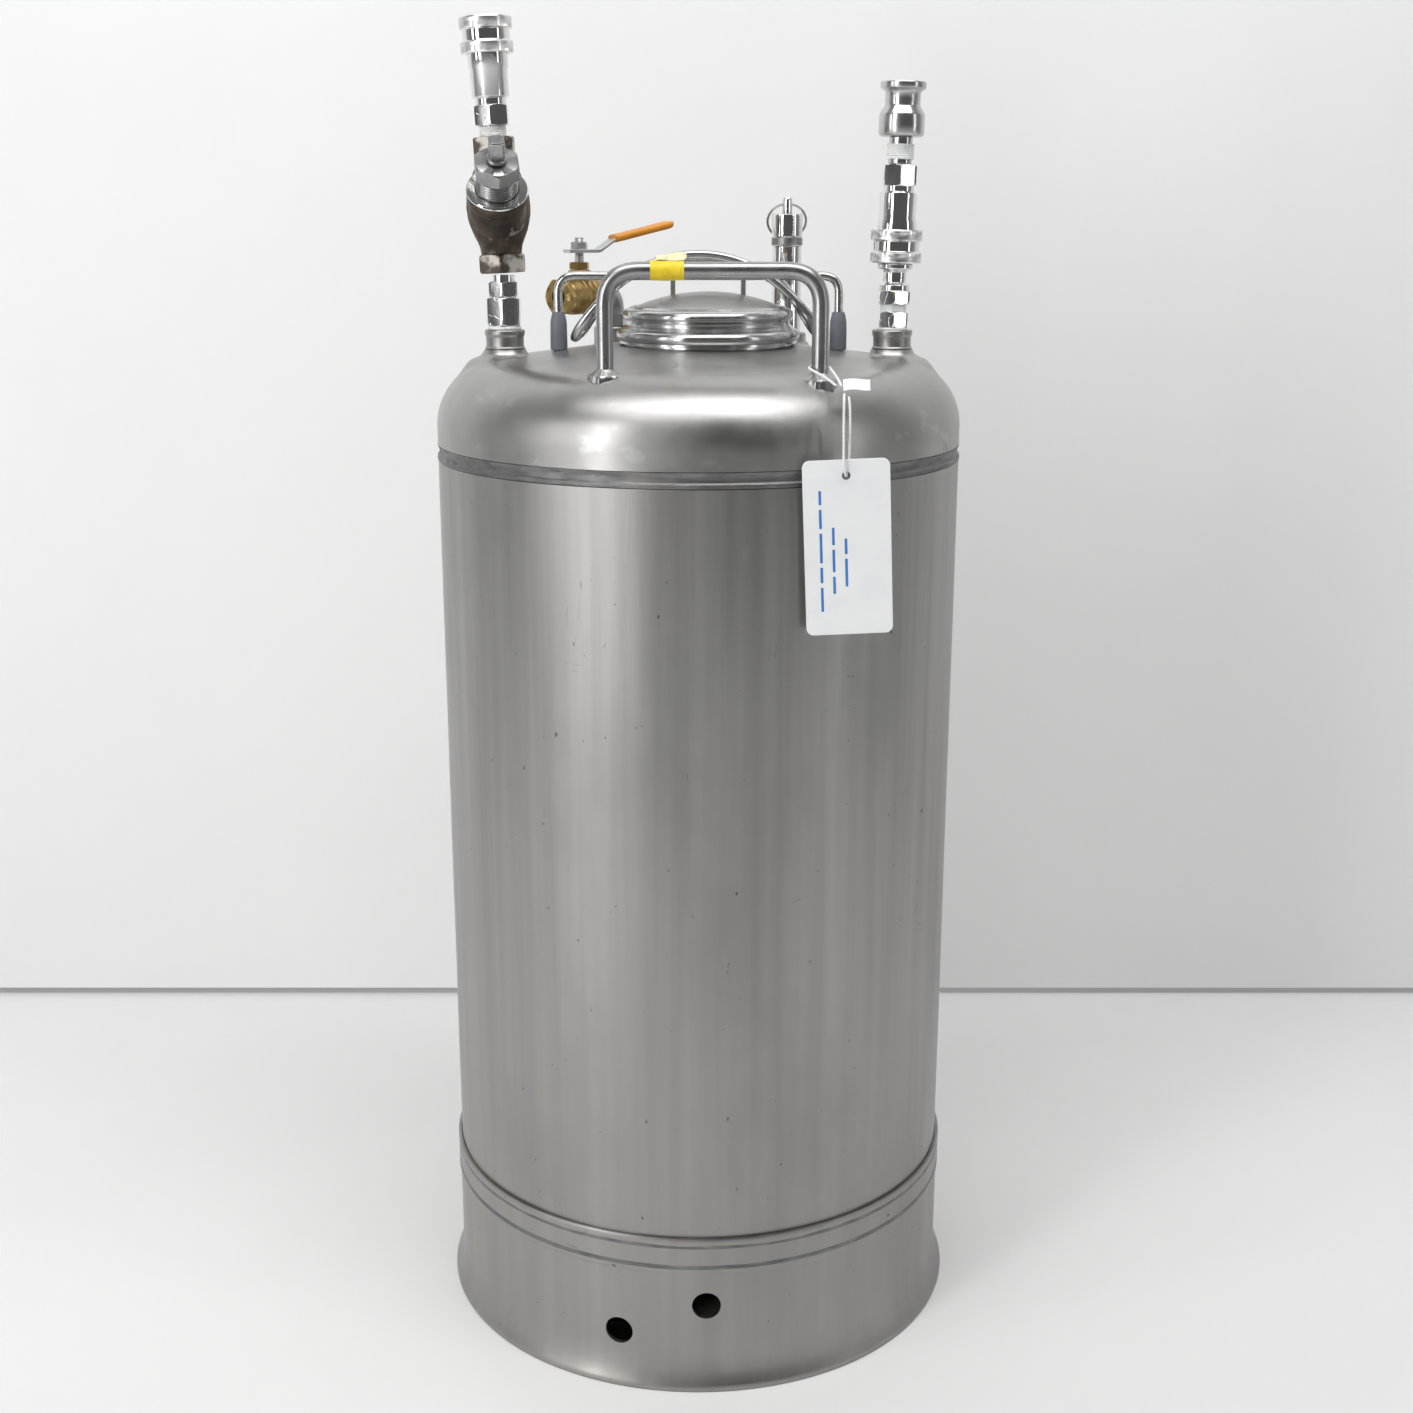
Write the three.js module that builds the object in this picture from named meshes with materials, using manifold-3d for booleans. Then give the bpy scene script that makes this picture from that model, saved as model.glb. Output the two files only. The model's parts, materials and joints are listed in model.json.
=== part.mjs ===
// A free-standing stainless cryogenic vessel: skirted shell, clamp-down hatch,
// two quick-coupling stacks, a relief valve, a ball valve and a hanging tag.
// Millimetres, +Z up, origin on the floor at the centre of the foot skirt.
import * as THREE from "three";
import { mergeVertices } from "three/addons/utils/BufferGeometryUtils.js";
import Module from "manifold-3d";

const wasm = await Module();
wasm.setup();

// ---------- driving dimensions ----------
const GAP = 0.3;
const SLIVER = 0.03;
const BIG_ROUND = 40;
const OVAL_ROUND = 28;
const INNER_ROUND = 24;
const SMALL_ROUND = 12;
const TINY_ROUND = 8;

const SHELL_RADIUS = 165;
const SHELL_WALL = 3;
const SHELL_BOTTOM = 82;
const WELD_LOW = 568;
const WELD_HIGH = 577;

const SKIRT_RADIUS = 166.5;
const SKIRT_TOP = 79.7;
const FLARE_RADIUS = 172;
const FLARE_HEIGHT = 22;
const BAND_RADIUS = 167.5;
const BAND_TOP = 104.5;
const DRAIN_HOLE_RADIUS = 9;
const DRAIN_HOLES = [[-50, 36], [5, 58]];

const KNUCKLE_RADIUS = 40;
const KNUCKLE_START = 588;
const KNUCKLE_STEPS = 4;
const CROWN_EDGE_RADIUS = 58;
const CROWN_EDGE_HEIGHT = 637;

const HATCH_X = 6;
const HATCH_OVAL = 1.12;
const COLLAR_BORE = 47.5;
const COLLAR_NECK = 52.5;
const LOWER_BEAD_RADIUS = 57.5;
const UPPER_BEAD_RADIUS = 53.5;
const COLLAR_FOOT = 630;
const COLLAR_SEAT = 638.2;
const BEAD_SPLIT = 649.6;
const COLLAR_TOP = 661;
const LID_RADIUS = 46.4;
const LID_EDGE = 660;
const LID_TOP = 669.5;
const LID_WALL = 3;
const LID_FOOT = 648;

const PORT_X = 122;
const PORT_RADIUS = 12.2;
const PORT_BORE = 9;
const PORT_FOOT = 634.3;
const PORT_TOP = 646;

const BAIL_WIRE = 2.75;
const BAIL_AXIS_Z = 679;
const BAIL_FOOT_X = 88;
const BAIL_LOOP_X = 78;
const LUG_REACH = 22;
const LUG_THICKNESS = 3;
const LUG_HALF_WIDTH = 4.2;
const BOOT_TOP = 657;

const HANDLE_ROD = 4.8;
const HANDLE_X = 8;
const HANDLE_Y = -122;
const HANDLE_HALF = 61;
const HANDLE_TOP = 685;
const HANDLE_BEND = 20;

const RELIEF_X = 58;
const RELIEF_Y = 62;

const VALVE_X = -79;
const VALVE_Y = 74;
const VALVE_Z = 664;
const VALVE_TURN = THREE.MathUtils.degToRad(232);
const LEVER_TURN = THREE.MathUtils.degToRad(206.6);
const ELBOW_REACH = 32;

const LEFT_LEAN = THREE.MathUtils.degToRad(-2.7);
const LEFT_LEAN_Z = 680;
const RIGHT_LEAN = THREE.MathUtils.degToRad(1.2);
const RIGHT_LEAN_Z = 646.8;
const BONNET_TILT = THREE.MathUtils.degToRad(42);

const TAG_X = 82;
const TAG_Y = -160;
const TAG_WIDTH = 49;
const TAG_HEIGHT = 99;
const TAG_TOP = 584;
const STRING_RADIUS = 0.7;

// ---------- materials ----------
function finish(color, roughness, metalness) {
  return new THREE.MeshStandardMaterial({ color, roughness, metalness });
}
const SATIN_STEEL = finish(0x9a9c9c, 0.42, 1);
const WELDED_STEEL = finish(0x7c7d7c, 0.55, 1);
const BRIGHT_STEEL = finish(0xc4c7c9, 0.18, 1);
const CHROME = finish(0xd8dadc, 0.1, 1);
const CAST_BRONZE = finish(0x4a443d, 0.6, 0.8);
const BRASS = finish(0x9a7a3c, 0.4, 1);
const GREY_RUBBER = finish(0x6d747a, 0.8, 0);
const BLACK_RUBBER = finish(0x1c1c1c, 0.8, 0);
const ORANGE_VINYL = finish(0xe0860c, 0.5, 0);
const YELLOW_TAPE = finish(0xe6c01a, 0.6, 0);
const WHITE_TAPE = finish(0xf2f2f0, 0.7, 0);
const WHITE_PLASTIC = finish(0xf0f0f0, 0.4, 0);
const WHITE_STRING = finish(0xf4f4f2, 0.8, 0);

// ---------- shape helpers ----------
function closed(geometry) {
  geometry.deleteAttribute("normal");
  geometry.deleteAttribute("uv");
  const merged = mergeVertices(geometry.index ? geometry.toNonIndexed() : geometry, 1e-3);
  const source = merged.index.array;
  const kept = [];
  for (let i = 0; i < source.length; i += 3) {
    const [a, b, c] = [source[i], source[i + 1], source[i + 2]];
    if (a !== b && b !== c && a !== c) kept.push(a, b, c);
  }
  merged.setIndex(kept);
  return merged;
}

function solid(geometry) {
  const body = closed(geometry);
  const mesh = new wasm.Mesh({
    numProp: 3,
    vertProperties: new Float32Array(body.attributes.position.array),
    triVerts: new Uint32Array(body.index.array),
  });
  return new wasm.Manifold(mesh);
}

function geometryOf(body) {
  const mesh = body.simplify(SLIVER).getMesh();
  const geometry = new THREE.BufferGeometry();
  geometry.setAttribute("position", new THREE.BufferAttribute(new Float32Array(mesh.vertProperties), 3));
  geometry.setIndex(new THREE.BufferAttribute(new Uint32Array(mesh.triVerts), 1));
  return geometry;
}

// A ring or a disc turned about Z from [radius, height] points.
function turned(profile, segments = SMALL_ROUND) {
  const points = profile.map(([radius, height]) => new THREE.Vector2(radius, height));
  if (THREE.ShapeUtils.area(points) < 0) points.reverse();
  points.push(points[0].clone());
  const geometry = new THREE.LatheGeometry(points, segments);
  geometry.rotateX(Math.PI / 2);
  return geometry;
}

// A tube about Z between two heights.
function sleeve(inner, outer, low, high, segments = SMALL_ROUND) {
  return turned([[inner, low], [outer, low], [outer, high], [inner, high]], segments);
}

// A full cylinder about Z between two heights.
function rod(radius, low, high, segments = SMALL_ROUND) {
  const geometry = new THREE.CylinderGeometry(radius, radius, high - low, segments);
  geometry.rotateX(Math.PI / 2);
  geometry.translate(0, 0, (high + low) / 2);
  return geometry;
}

// A hexagonal bar about Z with chamfered corners, by its distance across flats.
function hexBar(acrossFlats, low, high) {
  const hex = new THREE.CylinderGeometry(acrossFlats / Math.sqrt(3), acrossFlats / Math.sqrt(3), high - low, 6);
  hex.rotateX(Math.PI / 2);
  hex.translate(0, 0, (high + low) / 2);
  const rim = acrossFlats / 2 * 1.02;
  const crown = acrossFlats / Math.sqrt(3) * 1.02;
  const chamfer = (crown - rim) * 0.6;
  const turnedBar = turned([[0, low], [rim, low], [crown, low + chamfer],
    [crown, high - chamfer], [rim, high], [0, high]]);
  return solid(hex).intersect(solid(turnedBar));
}

// A round wire along a smooth curve.
function wire(curve, radius, steps, sides = TINY_ROUND) {
  const section = new THREE.Shape();
  section.absarc(0, 0, radius, 0, 2 * Math.PI, false);
  return new THREE.ExtrudeGeometry(section, { steps, curveSegments: sides / 2, extrudePath: curve });
}

function vector(x, y, z) {
  return new THREE.Vector3(x, y, z);
}

// Straight runs joined by round bends, as one curve path.
function bentPath(corners, bend) {
  const path = new THREE.CurvePath();
  let from = corners[0];
  for (let i = 1; i < corners.length - 1; i += 1) {
    const corner = corners[i];
    const before = corner.clone().add(corners[i - 1].clone().sub(corner).setLength(bend));
    const after = corner.clone().add(corners[i + 1].clone().sub(corner).setLength(bend));
    path.add(new THREE.LineCurve3(from, before));
    path.add(new THREE.QuadraticBezierCurve3(before, corner, after));
    from = after;
  }
  path.add(new THREE.LineCurve3(from, corners[corners.length - 1]));
  return path;
}

const vessel = new THREE.Group();

function add(name, shape, material, parent = vessel) {
  const geometry = shape.isBufferGeometry ? closed(shape) : geometryOf(shape);
  const mesh = new THREE.Mesh(geometry, material);
  mesh.name = name;
  parent.add(mesh);
  return mesh;
}

function groupAt(x, y, z, parent = vessel) {
  const group = new THREE.Group();
  group.position.set(x, y, z);
  parent.add(group);
  return group;
}

// ---------- vessel ----------
// Outer line of the top head from its weld to the mouth, moved outwards by offset.
function headLine(offset) {
  const centreRadius = SHELL_RADIUS - KNUCKLE_RADIUS;
  const slope = Math.atan2(KNUCKLE_START + KNUCKLE_RADIUS - CROWN_EDGE_HEIGHT, centreRadius - CROWN_EDGE_RADIUS);
  const endAngle = Math.PI / 2 + slope;
  const line = [];
  for (let i = 0; i <= KNUCKLE_STEPS; i += 1) {
    const angle = endAngle * i / KNUCKLE_STEPS;
    const radius = KNUCKLE_RADIUS + offset;
    line.push([centreRadius + radius * Math.cos(angle), KNUCKLE_START + radius * Math.sin(angle)]);
  }
  line.push([CROWN_EDGE_RADIUS, CROWN_EDGE_HEIGHT + offset]);
  return line;
}

// Height of the knuckle's outer face at a distance from the vessel's axis.
function knuckleHeight(radius) {
  const centreRadius = SHELL_RADIUS - KNUCKLE_RADIUS;
  return KNUCKLE_START + Math.sqrt(KNUCKLE_RADIUS ** 2 - (radius - centreRadius) ** 2);
}

// Everything under the outer face of the top head, a working gap proud of it.
function headCutter() {
  const line = headLine(GAP);
  line.push([0, CROWN_EDGE_HEIGHT + GAP]);
  line.push([0, WELD_HIGH]);
  line.push([SHELL_RADIUS + GAP, WELD_HIGH]);
  return solid(turned(line, BIG_ROUND));
}

function seatOnHead(body, x = 0, y = 0) {
  return body.subtract(headCutter().translate([-x, -y, 0]));
}

function ovalRod(radius, low, high) {
  const body = rod(radius, low, high, OVAL_ROUND);
  body.scale(1, HATCH_OVAL, 1);
  body.translate(HATCH_X, 0, 0);
  return solid(body);
}

function ovalTurned(profile) {
  const body = turned(profile, OVAL_ROUND);
  body.scale(1, HATCH_OVAL, 1);
  body.translate(HATCH_X, 0, 0);
  return solid(body);
}

function buildTopHead() {
  const outer = headLine(0);
  const inner = headLine(-SHELL_WALL).reverse();
  const middle = [[0, CROWN_EDGE_HEIGHT], [0, CROWN_EDGE_HEIGHT - SHELL_WALL]];
  const skirtEdge = [[SHELL_RADIUS - SHELL_WALL, WELD_HIGH + GAP], [SHELL_RADIUS, WELD_HIGH + GAP]];
  let head = solid(turned([...outer, ...middle, ...inner, ...skirtEdge], BIG_ROUND));
  for (const side of [-1, 1]) {
    const neck = turned([[0, 622], [30, 622], [24, 627], [17, 629], [14, 631], [13, 634], [0, 634]]);
    head = head.add(solid(neck).translate([side * PORT_X, 0, 0]).subtract(innerSpace()));
    head = head.subtract(solid(rod(PORT_BORE, 600, 640)).translate([side * PORT_X, 0, 0]));
  }
  head = head.subtract(ovalRod(COLLAR_NECK + GAP, 620, 650));
  head = head.subtract(solid(rod(7, 600, 650)).translate([RELIEF_X, RELIEF_Y, 0]));
  const rear = elbowCentre();
  head = head.subtract(solid(rod(7, 600, 650)).translate([rear.x, rear.y, 0]));
  add("top_head", head, SATIN_STEEL);
}

// The hollow under the top head's inner face.
function innerSpace() {
  const line = headLine(-SHELL_WALL);
  line.push([0, CROWN_EDGE_HEIGHT - SHELL_WALL]);
  line.push([0, WELD_LOW]);
  line.push([SHELL_RADIUS - SHELL_WALL, WELD_LOW]);
  return solid(turned(line, BIG_ROUND));
}

function buildShell() {
  const inner = SHELL_RADIUS - SHELL_WALL;
  add("outer_shell", sleeve(inner, SHELL_RADIUS, SHELL_BOTTOM, WELD_LOW - GAP, BIG_ROUND), SATIN_STEEL);
  const groove = 0.8;
  const weld = turned([
    [inner, WELD_LOW], [SHELL_RADIUS + 0.4, WELD_LOW], [SHELL_RADIUS + 0.4, WELD_LOW + 2],
    [SHELL_RADIUS - groove, WELD_LOW + 3], [SHELL_RADIUS - groove, WELD_HIGH - 2],
    [SHELL_RADIUS, WELD_HIGH], [inner, WELD_HIGH],
  ], BIG_ROUND);
  add("shoulder_weld_band", weld, WELDED_STEEL);
  const plate = SHELL_WALL;
  const edge = inner - GAP;
  add("bottom_head", turned([
    [0, 86], [80, 89], [140, 103], [edge, 118], [edge, 128],
    [edge - plate, 128], [edge - plate, 120], [138, 106], [80, 92], [0, 86 + plate],
  ], BIG_ROUND), SATIN_STEEL);
}

function buildSkirt() {
  const inner = SKIRT_RADIUS - SHELL_WALL;
  let skirt = solid(turned([
    [FLARE_RADIUS - 5.5, 0], [FLARE_RADIUS, 0], [FLARE_RADIUS, 3], [FLARE_RADIUS - 3, 10],
    [SKIRT_RADIUS, FLARE_HEIGHT], [SKIRT_RADIUS, SKIRT_TOP], [inner, SKIRT_TOP],
    [inner, FLARE_HEIGHT], [FLARE_RADIUS - 6, 10],
  ], BIG_ROUND));
  for (const [x, z] of DRAIN_HOLES) {
    const drill = rod(DRAIN_HOLE_RADIUS, 0, 60);
    drill.rotateX(Math.PI / 2);
    drill.rotateZ(Math.asin(x / SKIRT_RADIUS));
    drill.translate(x * 0.84, -Math.sqrt(SKIRT_RADIUS ** 2 - x ** 2) * 0.84, z);
    skirt = skirt.subtract(solid(drill));
  }
  add("foot_skirt", skirt, SATIN_STEEL);
  add("skirt_lap_band", sleeve(SHELL_RADIUS + GAP, BAND_RADIUS, SKIRT_TOP + GAP, BAND_TOP, BIG_ROUND), WELDED_STEEL);
}

function buildInnerVessel() {
  const wall = 2;
  const radius = 150;
  const knee = 30;
  const bend = 2;
  function line(inset) {
    const points = [[0, 100 + inset], [90, 106 + inset]];
    for (let i = 0; i <= bend; i += 1) {
      const angle = -Math.PI / 2 + Math.PI / 2 * i / bend;
      points.push([radius - knee + (knee - inset) * Math.cos(angle), 150 + (knee - inset) * Math.sin(angle)]);
    }
    for (let i = 0; i <= bend; i += 1) {
      const angle = Math.PI / 2 * i / bend;
      points.push([radius - knee + (knee - inset) * Math.cos(angle), 570 + (knee - inset) * Math.sin(angle)]);
    }
    points.push([60, 604 - inset]);
    points.push([0, 604 - inset]);
    return points;
  }
  const outside = solid(turned(line(0), INNER_ROUND));
  const inside = solid(turned(line(wall), INNER_ROUND));
  const neckOuter = ovalRod(50.5, 599, COLLAR_FOOT - GAP);
  const neckInner = ovalRod(COLLAR_BORE, 590, 640);
  let body = outside.add(neckOuter).subtract(inside).subtract(neckInner);
  for (const side of [-1, 1]) {
    body = body.subtract(solid(rod(5.5, 560, 640)).translate([side * PORT_X, 0, 0]));
  }
  add("inner_vessel", body, BRIGHT_STEEL);
  const left = groupAt(-PORT_X, 0, 0);
  add("dip_tube", sleeve(3, 4.8, 135, 637.5), BRIGHT_STEEL, left);
  const right = groupAt(PORT_X, 0, 0);
  add("gas_tube", sleeve(3, 4.8, 575, 637.5), BRIGHT_STEEL, right);
}

// ---------- hatch ----------
function buildCollar() {
  const collar = ovalTurned([
    [COLLAR_BORE, COLLAR_FOOT], [COLLAR_NECK, COLLAR_FOOT], [COLLAR_NECK, COLLAR_SEAT],
    [LOWER_BEAD_RADIUS - 1, COLLAR_SEAT], [LOWER_BEAD_RADIUS, 641], [LOWER_BEAD_RADIUS, 645],
    [LOWER_BEAD_RADIUS - 2, 648], [COLLAR_NECK - 0.5, BEAD_SPLIT], [UPPER_BEAD_RADIUS, 653],
    [UPPER_BEAD_RADIUS, 657.5], [UPPER_BEAD_RADIUS - 3, COLLAR_TOP], [COLLAR_BORE, COLLAR_TOP],
  ]);
  add("mouth_collar", collar, BRIGHT_STEEL);
}

function domeLine(offset, radius) {
  const rise = LID_TOP - LID_EDGE;
  const sphere = (LID_RADIUS ** 2 + rise ** 2) / (2 * rise);
  const points = [];
  const steps = 3;
  for (let i = 0; i <= steps; i += 1) {
    const r = radius * i / steps;
    points.push([r, LID_TOP + offset - sphere + Math.sqrt(sphere ** 2 - r ** 2)]);
  }
  return points;
}

function buildLid() {
  let lid = ovalTurned([
    ...domeLine(0, LID_RADIUS), [LID_RADIUS, LID_FOOT], [LID_RADIUS - LID_WALL, LID_FOOT],
    ...domeLine(-LID_WALL, LID_RADIUS - LID_WALL).reverse(),
  ]);
  const hollow = ovalTurned([...domeLine(-1, LID_RADIUS - 1), [LID_RADIUS - 1, 640], [0, 640]]);
  for (const side of [-1, 1]) {
    const height = BAIL_AXIS_Z - LID_EDGE;
    const stem = new THREE.BoxGeometry(LUG_THICKNESS, 2 * LUG_HALF_WIDTH, height);
    stem.translate(0, 0, LID_EDGE + height / 2);
    const eye = rod(LUG_HALF_WIDTH, -LUG_THICKNESS / 2, LUG_THICKNESS / 2);
    eye.rotateY(Math.PI / 2);
    eye.translate(0, 0, BAIL_AXIS_Z);
    const hole = rod(BAIL_WIRE + GAP + 0.1, -LUG_THICKNESS, LUG_THICKNESS);
    hole.rotateY(Math.PI / 2);
    hole.translate(0, 0, BAIL_AXIS_Z);
    const lug = solid(stem).add(solid(eye)).subtract(solid(hole));
    lid = lid.add(lug.translate([HATCH_X + side * LUG_REACH, 0, 0]).subtract(hollow));
  }
  add("lid", lid, SATIN_STEEL);
  add("lid_gasket", ovalTurned([
    [41, LID_FOOT - GAP - 4], [COLLAR_BORE - GAP, LID_FOOT - GAP - 4],
    [COLLAR_BORE - GAP, LID_FOOT - GAP], [41, LID_FOOT - GAP],
  ]), BLACK_RUBBER);
}

function loopCurve() {
  const points = [];
  const steps = 7;
  const half = 6.6;
  for (let i = 0; i <= steps; i += 1) {
    const t = -1 + 2 * i / steps;
    points.push(vector(t * (BAIL_LOOP_X - 5), -half, 650 + 42 * (1 - Math.abs(t) ** 2.2)));
  }
  points.push(vector(BAIL_LOOP_X, 0, 641));
  for (let i = steps; i >= 0; i -= 1) {
    const t = -1 + 2 * i / steps;
    points.push(vector(t * (BAIL_LOOP_X - 5), half, 645 + 43 * (1 - Math.abs(t) ** 3.4)));
  }
  points.push(vector(-BAIL_LOOP_X, 0, 641));
  return new THREE.CatmullRomCurve3(points, true, "centripetal");
}

function buildBail() {
  const loop = solid(new THREE.TubeGeometry(loopCurve(), 36, BAIL_WIRE, 6, true));
  const footPath = bentPath([
    vector(-BAIL_FOOT_X, 0, BOOT_TOP - 14), vector(-BAIL_FOOT_X, 0, BAIL_AXIS_Z),
    vector(BAIL_FOOT_X, 0, BAIL_AXIS_Z), vector(BAIL_FOOT_X, 0, BOOT_TOP - 14),
  ], 11);
  const cross = solid(wire(footPath, BAIL_WIRE, 18, 6));
  let bail = loop.add(cross);
  for (const x of [-44, 44]) {
    const bridge = new THREE.CylinderGeometry(2.2, 2.2, 11, TINY_ROUND);
    bridge.translate(x, 0, BAIL_AXIS_Z - 1);
    bail = bail.add(solid(bridge));
  }
  add("bail", bail, BRIGHT_STEEL);
  for (const [name, side] of [["bail_boot_left", -1], ["bail_boot_right", 1]]) {
    const bore = BAIL_WIRE + GAP;
    const boot = solid(turned([
      [0, 630], [5.4, 630], [5.2, 652], [4, BOOT_TOP], [bore, BOOT_TOP],
      [bore, BOOT_TOP - 14 - GAP], [0, BOOT_TOP - 14 - GAP],
    ])).translate([side * BAIL_FOOT_X, 0, 0]);
    add(name, seatOnHead(boot), GREY_RUBBER);
  }
}

// ---------- carry handle ----------
function buildHandle() {
  const low = 610;
  const path = bentPath([
    vector(HANDLE_X - HANDLE_HALF, HANDLE_Y, low), vector(HANDLE_X - HANDLE_HALF, HANDLE_Y, HANDLE_TOP),
    vector(HANDLE_X + HANDLE_HALF, HANDLE_Y, HANDLE_TOP), vector(HANDLE_X + HANDLE_HALF, HANDLE_Y, low),
  ], HANDLE_BEND);
  let handle = solid(wire(path, HANDLE_ROD, 24, 10));
  for (const side of [-1, 1]) {
    const surface = knuckleHeight(Math.hypot(HANDLE_X + side * HANDLE_HALF, HANDLE_Y));
    const bead = turned([
      [0, surface - 6], [10, surface - 6], [10, surface + 1], [7.5, surface + 2.5],
      [HANDLE_ROD, surface + 5], [0, surface + 5],
    ]);
    handle = handle.add(solid(bead).translate([HANDLE_X + side * HANDLE_HALF, HANDLE_Y, 0]));
  }
  add("carry_handle", seatOnHead(handle), SATIN_STEEL);
  const tape = sleeve(HANDLE_ROD + GAP, HANDLE_ROD + GAP + 0.6, -27, -8);
  tape.rotateY(Math.PI / 2);
  tape.translate(0, HANDLE_Y, HANDLE_TOP);
  add("handle_tape", tape, YELLOW_TAPE);
}

// ---------- fittings ----------
function portBoss(name, x) {
  const boss = turned([
    [PORT_BORE, PORT_FOOT], [PORT_RADIUS - 0.4, PORT_FOOT], [PORT_RADIUS - 0.4, 642],
    [PORT_RADIUS + 0.4, 643], [PORT_RADIUS + 0.4, PORT_TOP], [PORT_BORE, PORT_TOP],
  ]);
  boss.translate(x, 0, 0);
  add(name, boss, SATIN_STEEL);
}

function bored(body, radius, low, high) {
  return body.subtract(solid(rod(radius, low, high, SMALL_ROUND)));
}

// A socket coupling from its hex (height 0) to its mouth; returns the height where the sleeve starts.
function couplerBody(hexLength, waistLength, barrelLength, stepLength, sleeveLength) {
  const waist = hexLength;
  const barrel = waist + waistLength;
  const step = barrel + barrelLength;
  const start = step + stepLength;
  const mouth = start + sleeveLength;
  const outside = turned([
    [0, waist], [9.5, waist], [9.5, barrel - 1], [11.5, barrel], [11.5, step - 1], [12.2, step],
    [12.2, mouth - 1.5], [11.4, mouth - 0.5], [0, mouth - 0.5],
  ]);
  let body = hexBar(20, 0, hexLength + 0.01).add(solid(outside));
  body = bored(body, 5, -1, barrel + 6);
  body = bored(body, 9, barrel + 5, mouth + 1);
  return { body, start, mouth };
}

function couplerSleeve(start, length) {
  const ring = length / 3;
  return turned([
    [12.6, start], [15.6, start], [16, start + 0.6], [16, start + ring - 0.6], [15.2, start + ring],
    [14.4, start + ring + 0.4], [14.4, start + 2 * ring - 0.4], [15.2, start + 2 * ring],
    [16, start + 2 * ring + 0.6], [16, start + length - 0.6], [15.4, start + length], [12.6, start + length],
  ]);
}

// A direction leaning forwards and slightly right, for the angled bonnet.
function bonnetTurn(body) {
  body.rotateX(BONNET_TILT);
  body.rotateZ(THREE.MathUtils.degToRad(10));
  body.translate(0, -10, 36);
  return body;
}

// The swollen barrel of the cast valve, moved outwards by offset.
function castBarrel(offset) {
  const line = [[12.5, 11], [13.2, 17], [16.6, 25], [19.4, 35], [19.4, 46], [16.5, 56], [12.5, 65]];
  return solid(turned([[0, 11], ...line.map(([radius, height]) => [radius + offset, height]), [0, 65]]));
}

function bonnetSolid(body) {
  return solid(bonnetTurn(geometryOf(body)));
}

function buildLeftStack() {
  portBoss("liquid_port_boss", -PORT_X);
  const stack = groupAt(-PORT_X, 0, 0);
  const bushing = hexBar(20, 648.6, 666).add(solid(rod(8.6, 638, 648.8)));
  add("liquid_hex_bushing", bored(bushing, 5, 630, 670), CHROME, stack);
  add("liquid_port_tape", sleeve(8.9, 10.6, PORT_TOP + GAP, 648.3), WHITE_TAPE, stack);
  const nipple = hexBar(17.5, 666.3, 675.6).add(solid(rod(7, 675, 679.6)));
  add("liquid_hex_nipple", bored(nipple, 4.5, 660, 690), CHROME, stack);

  const upper = groupAt(0, 0, LEFT_LEAN_Z, stack);
  upper.rotation.y = LEFT_LEAN;
  let body = hexBar(27, 0.8, 12).add(castBarrel(0)).add(hexBar(24, 64, 82));
  body = body.add(bonnetSolid(solid(turned([[0, 0], [16, 0], [17.5, 8], [18.4, 18], [0, 18]]))));
  body = bored(body, 7, -5, 100);
  body = body.subtract(bonnetSolid(solid(rod(12, 2, 30))));
  add("angle_valve_body", body, CAST_BRONZE, upper);
  const ring = solid(bonnetTurn(sleeve(13.6, 19, 18.3, 20.3))).subtract(castBarrel(GAP)).subtract(solid(rod(14.3, 60, 90)));
  add("bonnet_washer", ring, CHROME, upper);
  let plug = hexBar(26, 31, 41).add(solid(turned([[0, 5], [11.6, 5], [11.6, 20], [13, 20.6], [13, 31.2], [0, 31.2]])));
  plug = bored(plug, 4, 0, 50);
  const bore = bonnetSolid(solid(rod(11.8, 0, 30)));
  add("bonnet_plug", bonnetSolid(plug).subtract(castBarrel(GAP).subtract(bore)), SATIN_STEEL, upper);
  const head = new THREE.BoxGeometry(9.5, 9.5, 13);
  head.translate(0, 0, 50.5);
  const stem = solid(turned([[0, 3], [3.6, 3], [3.6, 41.3], [6.4, 41.3], [6.4, 44.2], [0, 44.2]])).add(solid(head));
  add("valve_stem", bonnetSolid(stem), WELDED_STEEL, upper);
  add("coupler_thread_tape", sleeve(7.3, 8.4, 82.3, 88), WHITE_TAPE, upper);
  add("coupler_close_nipple", sleeve(4.6, 6.7, 74, 93), BRIGHT_STEEL, upper);

  const { body: coupler, start, mouth } = couplerBody(12.5, 4.5, 17, 8, 21);
  const couplerGroup = groupAt(0, 0, 88.3, upper);
  add("left_coupler_body", bored(coupler, 7, -1, 5), CHROME, couplerGroup);
  add("left_coupler_sleeve", couplerSleeve(start, 21), CHROME, couplerGroup);
  add("left_coupler_poppet", turned([
    [0, start - 6], [8.2, start - 6], [8.2, start + 2], [5, start + 6], [0, start + 7],
  ]), BRIGHT_STEEL, couplerGroup);
  return mouth;
}

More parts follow.
